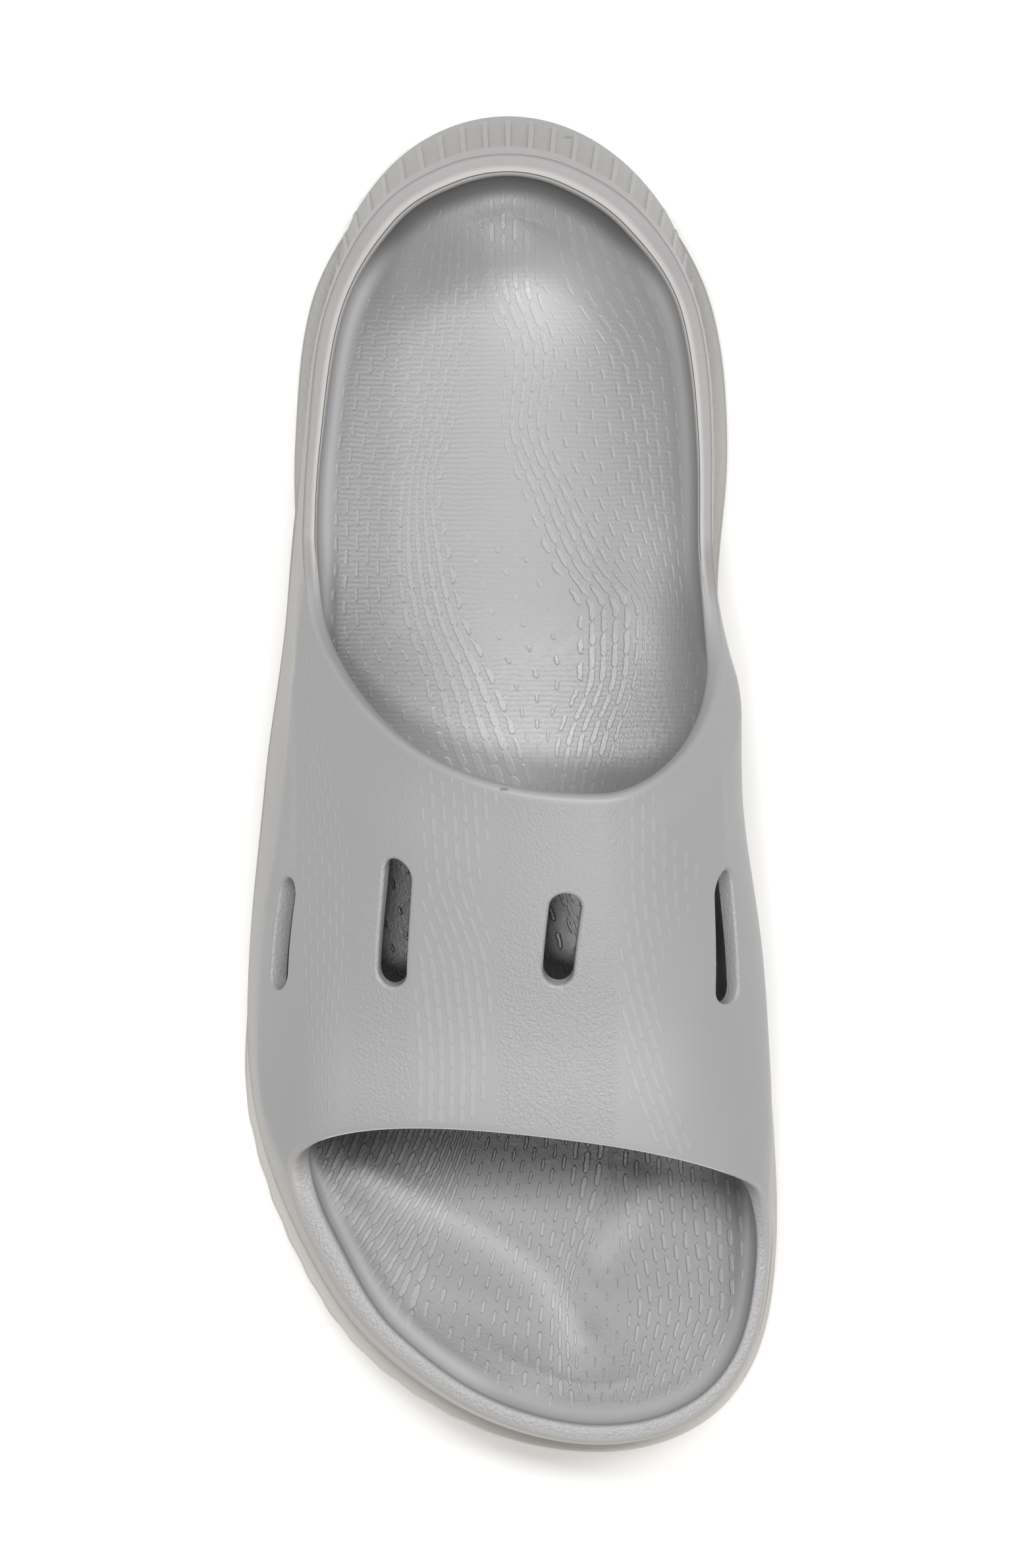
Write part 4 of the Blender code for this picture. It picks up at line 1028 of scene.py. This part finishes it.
REAR_STRENGTHS = (
    # y, then the strength between each two guides
    (130, 0.25, 0.50, 0.05, 0.70, 0.10, 0.60),
    (112, 0.32, 0.62, 0.05, 0.85, 0.12, 0.70),
    (95, 0.40, 0.50, 0.05, 0.80, 0.30, 0.55),
    (80, 0.38, 0.70, 0.05, 0.80, 0.25, 0.50),
    (65, 0.45, 0.92, 0.05, 0.75, 0.30, 0.60),
    (50, 0.48, 1.00, 0.12, 0.75, 0.50, 0.55),
    (38, 0.42, 1.00, 0.10, 0.85, 0.50, 0.50),
    (25, 0.32, 1.00, 0.20, 0.90, 0.60, 0.42),
    (10, 0.22, 0.92, 0.28, 0.90, 0.55, 0.38),
    (-5, 0.15, 0.85, 0.25, 0.85, 0.50, 0.35),
    (-30, 0.15, 0.45, 0.25, 0.40, 0.30, 0.30),
    (-60, 0.15, 0.30, 0.25, 0.30, 0.30, 0.30),
)
FRONT_GUIDES = (
    (-60, -8, -3, 6, 16, 24, 25, 45),
    (-85, -17, -10, 1.3, 14, 22.5, 23, 46.5),
    (-100, -26, -15, -1.7, 11.8, 18.6, 24, 47.5),
    (-115, -36, -20, -4.4, 9.5, 14, 26.5, 48),
    (-128, -43, -22, -6.6, 9, 14.6, 25, 44),
    (-140, -50, -24, -8, 8.8, 16.5, 22, 40),
)
FRONT_NUMBERS = (0, 5, 10, 15.5, 18.5, 23.5, 33)
FRONT_STRENGTHS = (
    (-60, 0.90, 0.42, 0.45, 0.75, 0.05, 0.62),
    (-92, 0.90, 0.40, 0.45, 0.75, 0.05, 0.62),
    (-110, 0.85, 0.42, 0.48, 0.72, 0.12, 0.60),
    (-140, 0.80, 0.45, 0.55, 0.70, 0.20, 0.60),
)

# The strap's bands of lines: edges and bend in mm at places y
BAND_A = (
    # y, left edge, right edge, bend
    (30, -20, -2, -3.0),
    (-2, -20.3, -2.5, 0.0),
    (-20, -19.5, -6.7, 1.2),
    (-41, -21.0, -3.9, 7.3),
    (-63, -21.7, -5.0, 9.2),
    (-76, -21.3, -8.2, 8.9),
)
BAND_B = (
    (30, 24.0, 31.0, 0.0),
    (-4, 24.6, 32.0, 0.0),
    (-20, 25.3, 42.4, 0.0),
    (-41, 23.9, 33.1, 2.8),
    (-63, 24.6, 34.6, 9.0),
    (-82, 33.0, 41.0, 15.6),
)
OUTER_LINES = (
    # y, first line, last line
    (45, -46.8, -43.5),
    (23, -47, -43.5),
    (10, -47, -41),
    (-5, -47, -38.3),
    (-20, -47, -36),
    (-35, -46.5, -36),
    (-50, -46, -37.6),
    (-65, -45, -39),
)
OUTER_COUNT = 7.5  # pitches between them


def read(rows, index, at):
    """A column of a table whose first column falls, read smoothly."""
    table = np.array(rows, float)[::-1]
    return through(table[:, 0], table[:, index], at)


def guided(guides, numbers, strengths, x, y):
    """Number of the line and strength at plan places between guides."""
    places = [read(guides, index + 1, y) for index in range(len(numbers))]
    powers = [read(strengths, index + 1, y) for index in range(len(numbers) - 1)]
    number = numbers[0] + (x - places[0]) / LINE_PITCH
    strength = powers[0]
    for index in range(len(numbers) - 1):
        span = np.maximum(places[index + 1] - places[index], 0.3)
        share = np.clip((x - places[index]) / span, 0, 1)
        value = numbers[index] + share * (numbers[index + 1] - numbers[index])
        number = np.where(x >= places[index], value, number)
        if index:
            change = powers[index] - powers[index - 1]
            strength = strength + change * smooth((x - places[index]) / 1.8 + 0.5)
    beyond = numbers[-1] + (x - places[-1]) / LINE_PITCH
    return np.where(x > places[-1], beyond, number), strength


def footbed_flow(x, y):
    rear = guided(REAR_GUIDES, REAR_NUMBERS, REAR_STRENGTHS, x, y)
    front = guided(FRONT_GUIDES, FRONT_NUMBERS, FRONT_STRENGTHS, x, y)
    return tuple(np.where(y > TOE_BED, one, two) for one, two in zip(rear, front))


def within(x, left, right, soft):
    return smooth((x - left) / soft + 0.5) * smooth((right - x) / soft + 0.5)


def strap_flow(x, y):
    """Number and strength of the strap's lines, and how much of the face is left to grain."""
    first = within(x, read(BAND_A, 1, y), read(BAND_A, 2, y), 3.0)
    second = within(x, read(BAND_B, 1, y), read(BAND_B, 2, y), 3.0)
    left, right = (read(OUTER_LINES, index, y) for index in (1, 2))
    outer = within(x, left, right, 2.0)
    number = np.where(x < 8, x - read(BAND_A, 3, y), x - read(BAND_B, 3, y)) / LINE_PITCH
    number = np.where(x < -30, (x - left) / (right - left) * OUTER_COUNT, number)
    power = np.where(y > -20, 0.50 + 0.15 * smooth((10 - y) / 30), 0.65 + 0.20 * smooth((-30 - y) / 20))
    strength = (first + second) * power + outer * np.where(y > -9, 0.55, 0.45)
    grain = within(x, -36, -22, 3.0) + within(x, -3, 24, 3.0)
    return number, strength, grain * (0.45 + 0.55 * smooth((-20 - y) / 40))


def line_distance(x, y, line):
    """Distance of plan places from a line of points."""
    best = np.full(len(x), 1e9)
    for (ax, ay), (bx, by) in zip(line[:-1], line[1:]):
        run = (bx - ax) ** 2 + (by - ay) ** 2
        share = np.clip(((x - ax) * (bx - ax) + (y - ay) * (by - ay)) / run, 0, 1)
        best = np.minimum(best, np.hypot(x - ax - share * (bx - ax), y - ay - share * (by - ay)))
    return best


def vertex_normals(mesh):
    normals = np.zeros(3 * len(mesh.vertices))
    mesh.vertices.foreach_get("normal", normals)
    return normals.reshape(-1, 3)


def raise_relief(mesh, shape):
    """Lays the soft ridges into the footbed and the strap."""
    x, y, _ = (shape.points * 1000).T
    move = np.zeros(len(x))
    foot = np.where(shape.kinds == CUP, smooth((shape.notes[:, 0] - 0.4) / 0.5), shape.kinds == BED)
    for on, relief in ((foot, BED_RELIEF), (np.isin(shape.kinds, (STRAP, SIDE)), STRAP_RELIEF)):
        for height, reach, line in relief:
            away = line_distance(x, y, line)
            if relief is BED_RELIEF:
                across, level = np.array(sorted(line), float).T
                beside = ramp(x, across[0], RELIEF_END) * ramp(x, across[-1], -RELIEF_END)
                before = smooth((np.interp(x, across, level) - y) / RELIEF_TURN)
                away = away / (1 + RELIEF_RUN * beside * before)
            move += on * height * np.exp(-((away / reach) ** 2))
    shape.points = shape.points + vertex_normals(mesh) * move[:, None] / 1000
    mesh.vertices.foreach_set("co", shape.points.ravel())
    mesh.update()


FAR = 9.0  # a mark's distance where there is none
DASH_LENGTH = 5.6  # mm of the flow lines' dashes
TOE_BED = -62  # y in mm before which the footbed is the toe's

# How far each row of the heel's bead lies from its mould line, and each of the toe's from its bright edge
HEEL_LINE = (FAR, FAR, FAR, FAR, 4, 3, 2, 1.2, 0.5, 0.09, 0, 0.09, 0.4, 1, 2, 3, FAR)
TOE_LINE = (FAR, 1, 0.5, 0.12, 0, 0.25, 0.7, 2, 3, 4, FAR, FAR, FAR, FAR, FAR, FAR, FAR)

# Painted shade and light on the footbed: a painted shadow under the strap, painted highlights where it turns
# to the light
BED_PAINTED_SHADES = (
    # painted darkening (lightening where negative), then each axis along which it comes in: axis, start and
    # run in mm
    (0.40, ("y", -6, -12), ("y", -96, 14)),
    (-0.28, ("y", -6, -12), ("y", -96, 14), ("x", 28, 6)),
    (0.16, ("y", -6, -12), ("y", -70, 10), ("x", -14, -8)),
    (-0.12, ("x", 20, 10), ("y", -10, 20), ("y", 70, -20)),
    (0.12, ("x", -22, -8), ("y", 10, 20)),
)
BED_PAINTED_HIGHLIGHTS = (
    # painted highlight: lightening, middle x and y, reach x and y in mm
    (0.38, 9, 108, 12, 12),
    (0.40, -2, 10, 20, 24),
)
# Painted highlight along the crests of the footbed's toe ridges
CREST_PAINTED_HIGHLIGHTS = (0.27, 0.18)  # lightening along each ridge of BED_RELIEF
CREST_REACH = 3.4
# Painted shade on the heel's bead: darker on its top, a touch lighter at its outer and its inner side
BEAD_PAINTED_SHADES = (0.29, -0.05, -0.04)  # the heel's bead on its top, at its outer and at its inner side
# Painted sheen along the strap's front slope
STRAP_PAINTED_SHEEN = -0.14


def ramp(value, start, run):
    """From 0 at the start to 1 past the run, which may be negative."""
    return smooth((value - start) / run)


def bed_painted_shade(x, y):
    """How much darker than its plain tone the footbed's painted shade makes it, less its painted highlights.
    """
    # Painted shade over the whole footbed, deeper over the toe's part
    tone = np.where(y > TOE_BED, 0.32, 0.54)
    places = {"x": x, "y": y}
    for amount, *sides in BED_PAINTED_SHADES:
        for axis, start, run in sides:
            amount = amount * ramp(places[axis], start, run)
        tone = tone + amount
    # Painted highlights on the heel's cup and on the bed behind the strap
    for amount, middle_x, middle_y, reach_x, reach_y in BED_PAINTED_HIGHLIGHTS:
        tone = tone - amount * np.exp(-(((x - middle_x) / reach_x) ** 2) - ((y - middle_y) / reach_y) ** 2)
    for amount, (_, _, line) in zip(CREST_PAINTED_HIGHLIGHTS, BED_RELIEF):
        tone = tone - amount * np.exp(-((line_distance(x, y, line) / CREST_REACH) ** 2))
    return tone


def upper_fields(shape):
    """Flow (line, dash, strength), zone (grain, cross lines, warmth), mark (dark line, light line, gloss) and
    extra (the lines' height, rib, painted shade and highlights)."""
    x, y, _ = (shape.points * 1000).T
    note, part = shape.notes.T
    off_strap = 1 - part
    kinds = shape.kinds
    on_bed = np.isin(kinds, (BED, CUP))
    on_strap = kinds == STRAP
    toe_bead = (kinds == BEAD) & (note > 50)
    heel_bead = (kinds == BEAD) & (note < 50)
    row = note % 100
    step = np.minimum(row, BEAD_CUTS).astype(int)

    low = np.where(kinds == CUP, ramp(note, 0.45, 0.35), 1.0)
    bed_number, bed_power = footbed_flow(x, y)
    strap_number, strap_power, strap_grain = strap_flow(x, y)
    number = np.where(on_bed, bed_number, strap_number)
    strength = np.where(on_bed, bed_power * low, np.where(on_strap, strap_power, 0))

    cross = np.where(on_bed, low * (0.15 + 0.85 * ramp(y, -5, 20) * ramp(y, 122, -20)), 0)
    rim_grain = np.where(toe_bead, off_strap * within(row, 5.5, 11.5, 2.0), 0)
    grain = np.where(on_strap, strap_grain, 0) + 0.7 * (kinds == SLOT) + 0.25 * (kinds == LINING) + rim_grain
    under_strap = ramp(y, -86, 12) * ramp(y, 30, -40)
    faded = 1 - under_strap * (1 - ramp(note, 1.0, -0.7))
    warm = np.where(kinds == SIDE, (0.2 + 0.6 * ramp(y, 100, -50)) * faded, 0.0)
    warm = np.where(heel_bead, np.where(row > 7, 0.7, 0.35) * off_strap, warm)
    warm = np.where(toe_bead, 0.8 * off_strap * ramp(row, 8, -3), warm)

    dark = np.where(heel_bead, np.array(HEEL_LINE)[step] + part * FAR, FAR)
    light = np.where(toe_bead, np.array(TOE_LINE)[step] + off_strap * FAR, FAR)
    gloss = 0.5 * rim_grain + np.where(on_strap, 0.9 * strap_grain, 0)
    gloss = np.where(on_bed, np.where(y > TOE_BED, 1.0, 0.7), gloss)

    # Painted shade on the cup's inner wall: dark at the heel's back wall, lighter along the sides and most on
    # the outer side
    back_wall = ramp(y, 108, 16)
    wall_painted_shade = 0.68 * back_wall - 0.12 - 0.30 * (1 - back_wall) * smooth(-x / 12)
    shade = np.where(on_bed, low * bed_painted_shade(x, y), 0) + np.where(kinds == CUP, (1 - low) * wall_painted_shade, 0)
    # A band of painted sheen across the strap near its front edge
    strap_painted_sheen = STRAP_PAINTED_SHEEN * np.exp(-(((y + 66) / 13) ** 2)) * within(x, -42, 38, 14.0)
    shade = np.where(on_strap, strap_painted_sheen, shade)
    # Painted shade on the heel's bead, off the strap
    bead_painted_shade = np.select([row < 3, row > 7], BEAD_PAINTED_SHADES[1:], BEAD_PAINTED_SHADES[0])
    shade = np.where(heel_bead, bead_painted_shade * off_strap, shade)
    amount = np.where(on_bed, 1 - 0.5 * ramp(y, 35, 35), 0.75 + 0.25 * ramp(x, -34, -3))
    return {
        "flow": np.stack([number, y / DASH_LENGTH, strength], axis=1),
        "zone": np.stack([grain, cross, warm], axis=1),
        "mark": np.stack([dark, light, gloss], axis=1),
        "extra": np.stack([amount, np.zeros(len(x)), shade], axis=1),
    }


def sole_fields(shape, warmth):
    """The same fields for the pieces without flow lines."""
    y = shape.points[:, 1] * 1000
    none = np.zeros(len(y))
    rib = np.where(shape.kinds == SIDE, shape.notes[:, 1], 0)
    return {
        "flow": np.zeros((len(y), 3)),
        "zone": np.stack([none + 0.25, none, warmth * (1 - 0.8 * ramp(y, 60, 50))], axis=1),
        "mark": np.stack([none + FAR, none + FAR, none], axis=1),
        # Painted light: the midsole and outsole are lighter towards the toe, where they lie in shade
        "extra": np.stack([none, rib, -0.28 * ramp(y, -30, -50)], axis=1),
    }


class Weave:
    """A small helper to chain shader nodes."""

    def __init__(self, name):
        self.material = bpy.data.materials.new(name)
        self.material.use_nodes = True
        self.tree = self.material.node_tree
        self.shader = self.tree.nodes["Principled BSDF"]

    def node(self, kind, *values):
        node = self.tree.nodes.new(kind)
        for index, value in enumerate(values):
            self.feed(node.inputs[index], value)
        return node

    def feed(self, socket, value):
        if isinstance(value, bpy.types.NodeSocket):
            self.tree.links.new(value, socket)
        else:
            socket.default_value = value

    def math(self, operation, *values):
        node = self.node("ShaderNodeMath", *values)
        node.operation = operation
        return node.outputs[0]

    def total(self, first, *others):
        for other in others:
            first = self.math("ADD", first, other)
        return first

    def times(self, first, *others):
        for other in others:
            first = self.math("MULTIPLY", first, other)
        return first

    def to_middle(self, value):
        """Distance from the middle of each whole step, from 0 there to 1 at the steps' ends."""
        return self.times(self.math("ABSOLUTE", self.math("SUBTRACT", self.math("FRACT", value), 0.5)), 2.0)

    def ramp(self, value, low, high, start=0.0, end=1.0):
        node = self.node("ShaderNodeMapRange", value, low, high, start, end)
        node.interpolation_type = "SMOOTHSTEP"
        return node.outputs[0]

    def split(self, vector):
        return tuple(self.node("ShaderNodeSeparateXYZ", vector).outputs)

    def field(self, name):
        node = self.node("ShaderNodeAttribute")
        node.attribute_name = name
        return self.split(node.outputs["Vector"])

    def place(self):
        return self.node("ShaderNodeTexCoord").outputs["Object"]

    def noise(self, place, scale, detail=2.0):
        """Noise about zero."""
        node = self.node("ShaderNodeTexNoise", place)
        node.inputs["Scale"].default_value = scale
        node.inputs["Detail"].default_value = detail
        return self.math("SUBTRACT", node.outputs[0], 0.5)

    def spot(self, place, centre, reach):
        """One inside a small oval about a plan place and nothing outside it."""
        sides = []
        for socket, middle, half in zip(self.split(place), centre, reach):
            side = self.math("DIVIDE", self.math("SUBTRACT", socket, middle), half)
            sides.append(self.math("POWER", self.math("ABSOLUTE", side), 2.0))
        return self.ramp(self.total(*sides), 0.3, 1.3, 1.0, 0.0)

    def mix(self, share, first, second):
        node = self.node("ShaderNodeMix")
        node.data_type = "RGBA"
        for index, value in ((0, share), (6, first), (7, second)):
            self.feed(node.inputs[index], value)
        return node.outputs[2]

    def dim(self, colour, factor):
        node = self.node("ShaderNodeVectorMath")
        node.operation = "SCALE"
        self.feed(node.inputs[0], colour)
        self.feed(node.inputs[3], factor)
        return node.outputs[0]


# Small nicks of the mould: plan place and reach
NICKS = (
    ((-0.0016, -0.0012), (0.0011, 0.0004)),
    ((0.0127, 0.1440), (0.0010, 0.0004)),
)

# The foam's skin as bump, in metres
LINE_RISE = 0.00006
RIDGE_RISE = 0.000005
GRAIN_RISE = 0.00026
SKIN_RISE = 0.00003
PORE_RISE = 0.000012
GROOVE_RISE = -0.0001
RIDGE_WAVES = 5464.0  # radians of the cross lines for each metre

# How much each mark of the skin lightens its colour
LINE_LIGHT = 0.10
BORDER_LIGHT = -0.02
# Painted highlight on the heel's raised ribs and painted shade along their flanks
RIB_PAINTED_HIGHLIGHT = 0.12
RIB_EDGE_PAINTED_SHADE = -0.06
RIDGE_LIGHT = 0.007
CLOUD_LIGHT = 0.05
PORE_LIGHT = 0.06
GROOVE_LIGHT = -0.62
NICK_LIGHT = -0.45
FLASH_LIGHT = 0.8

# The flow lines' raggedness, width and dashes, in shares of their pitch
RAGGED = 0.24
DASH_SHIFT = 0.47
LINE_NOISE = 0.35
LINE_EDGE = 0.11

ROUGHNESS = 0.47
GLOSS_SHARE = -0.16


def flow_lines(weave, place, number, dash, strength, amount):
    """Where the raised lines are, and their borders."""
    line = weave.total(number, weave.times(weave.noise(place, 560.0, 3.0), RAGGED, amount))
    across = weave.to_middle(line)
    stagger = weave.times(weave.math("FLOOR", line), DASH_SHIFT)
    along = weave.to_middle(weave.total(dash, stagger, weave.times(weave.noise(place, 60.0), 0.5)))
    present = weave.ramp(strength, 0.05, 0.14)
    power = weave.total(strength, weave.times(weave.noise(place, 95.0), LINE_NOISE))
    wide = weave.total(0.05, weave.times(power, 0.50))
    long = weave.times(weave.math("SUBTRACT", weave.total(0.16, power), along), 1.6)
    inside = weave.math("SUBTRACT", weave.math("MINIMUM", wide, long), across)
    raised = weave.times(weave.ramp(inside, -LINE_EDGE, LINE_EDGE), present)
    off = weave.math("ABSOLUTE", weave.total(inside, 0.06))
    return raised, weave.times(weave.ramp(off, 0.03, 0.14, 1.0, 0.0), present)


def foam(name, neutral, beige):
    """Satin moulded foam: its skin's grain, and the flow lines where the fields ask for them."""
    weave = Weave(name)
    place = weave.place()
    number, dash, strength = weave.field("flow")
    grain, cross, warm = weave.field("zone")
    dark, light, gloss = weave.field("mark")
    amount, rib, shade = weave.field("extra")

    raised, border = flow_lines(weave, place, number, dash, strength, amount)
    y = weave.split(place)[1]
    wave = weave.total(weave.times(y, RIDGE_WAVES), weave.times(weave.noise(place, 130.0), 9.0))
    clear = weave.math("SUBTRACT", 1.0, weave.times(raised, 0.8))
    ridges = weave.times(weave.math("SINE", wave), cross, clear)
    groove = weave.ramp(dark, 0.04, 0.16, 1.0, 0.0)
    surface = weave.total(
        weave.times(raised, amount, LINE_RISE),
        weave.times(ridges, RIDGE_RISE),
        weave.times(weave.noise(place, 1500.0), weave.total(weave.times(grain, GRAIN_RISE), SKIN_RISE)),
        weave.times(weave.noise(place, 5200.0), PORE_RISE),
        weave.times(groove, GROOVE_RISE),
    )
    bump = weave.node("ShaderNodeBump")
    bump.inputs["Distance"].default_value = 1.0
    bump.inputs["Strength"].default_value = 1.0
    weave.feed(bump.inputs["Height"], surface)
    weave.feed(weave.shader.inputs["Normal"], bump.outputs[0])

    nicks = weave.math("MAXIMUM", weave.spot(place, *NICKS[0]), weave.spot(place, *NICKS[1]))
    # Painted shade along the flanks of the heel's ribs
    rib_flank_shade = weave.ramp(weave.math("ABSOLUTE", weave.math("SUBTRACT", rib, 0.5)), 0.1, 0.5, 1.0, 0.0)
    factor = weave.total(
        1.0,
        weave.times(raised, amount, LINE_LIGHT),
        weave.times(border, amount, BORDER_LIGHT),
        weave.times(rib, RIB_PAINTED_HIGHLIGHT),
        weave.times(rib_flank_shade, RIB_EDGE_PAINTED_SHADE),
        weave.times(ridges, RIDGE_LIGHT),
        weave.times(weave.noise(place, 38.0, 3.0), CLOUD_LIGHT),
        weave.times(weave.noise(place, 2600.0, 1.0), PORE_LIGHT),
        weave.times(groove, GROOVE_LIGHT),
        weave.times(nicks, NICK_LIGHT),
        weave.times(weave.ramp(light, 0.12, 0.45, 1.0, 0.0), FLASH_LIGHT),
        # Painted shade darkens the colour here; where it is negative it is a painted highlight and lightens
        # it
        weave.times(shade, -1.0),
    )
    colour = weave.mix(warm, (*neutral, 1), (*beige, 1))
    weave.feed(weave.shader.inputs["Base Color"], weave.dim(colour, factor))
    rough = weave.total(
        ROUGHNESS,
        weave.times(gloss, GLOSS_SHARE),
        weave.times(raised, -0.04),
        weave.times(weave.noise(place, 900.0), 0.10),
    )
    weave.feed(weave.shader.inputs["Roughness"], rough)
    return weave.material


def paper(name):
    """The studio's pale paper floor."""
    weave = Weave(name)
    shade = weave.total(1.0, weave.times(weave.noise(weave.place(), 900.0), 0.01))
    weave.feed(weave.shader.inputs["Base Color"], weave.dim((0.93, 0.925, 0.91), shade))
    weave.shader.inputs["Roughness"].default_value = 0.8
    return weave.material


SHADES = {
    # piece: neutral and beige
    "upper": ((0.262, 0.259, 0.265), (0.320, 0.306, 0.290)),
    "midsole": ((0.225, 0.223, 0.225), (0.335, 0.322, 0.306)),
    "outsole": ((0.30, 0.296, 0.288), (0.385, 0.368, 0.345)),
}
WARMTH = {"midsole": 0.6, "outsole": 1.0}

shapes = {"upper": make_upper(), "midsole": make_midsole(), "outsole": make_outsole()}
shift_to(list(shapes.values()))
for node, shape in shapes.items():
    piece = shape.finish(f"{node}_foam")
    mesh = piece.data
    if node == "upper":
        raise_relief(mesh, shape)
    fields = upper_fields(shape) if node == "upper" else sole_fields(shape, WARMTH[node])
    for name, values in fields.items():
        layer = mesh.attributes.new(name, "FLOAT_VECTOR", "POINT")
        layer.data.foreach_set("vector", values.ravel())
    mesh.materials.append(foam(f"{node}_foam", *SHADES[node]))
    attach(piece, "root")
    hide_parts(node)

# Studio
floor_mesh = bpy.data.meshes.new("floor")
floor_mesh.from_pydata([(-3, -3, 0), (3, -3, 0), (3, 3, 0), (-3, 3, 0)], [], [(0, 1, 2, 3)])
floor = bpy.data.objects.new("floor", floor_mesh)
bpy.context.scene.collection.objects.link(floor)
floor_mesh.materials.append(paper("floor"))


def lamp(name, place, size, power, colour):
    light = bpy.data.lights.new(name, "AREA")
    light.shape = "RECTANGLE"
    light.size, light.size_y = size
    light.energy = power
    light.color = colour
    holder = bpy.data.objects.new(name, light)
    holder.location = place
    aim = -np.array(place)
    holder.rotation_euler = Vector(aim).to_track_quat("-Z", "Y").to_euler()
    bpy.context.scene.collection.objects.link(holder)


lamp("top_softbox", (0.12, 0.56, 2.3), (3.4, 0.8), 82, (1.0, 1.0, 1.0))
lamp("sheen_softbox", (-0.18, -0.38, 3.0), (0.35, 0.30), 20, (1.0, 1.0, 1.0))
lamp("toe_softbox", (0.10, -1.75, 1.95), (0.7, 0.5), 13, (1.0, 1.0, 1.0))

world = bpy.data.worlds.new("studio")
world.use_nodes = True
world.node_tree.nodes["Background"].inputs["Color"].default_value = (1.0, 0.985, 0.965, 1)
world.node_tree.nodes["Background"].inputs["Strength"].default_value = 0.22
bpy.context.scene.world = world
bpy.context.scene.view_settings.view_transform = "Standard"

camera = bpy.data.cameras.new("camera")
camera.sensor_width = 36.0
camera.lens = 925.3
holder = bpy.data.objects.new("camera", camera)
holder.location = (0.0, 0.0, 9.0)
bpy.context.scene.collection.objects.link(holder)
bpy.context.scene.camera = holder
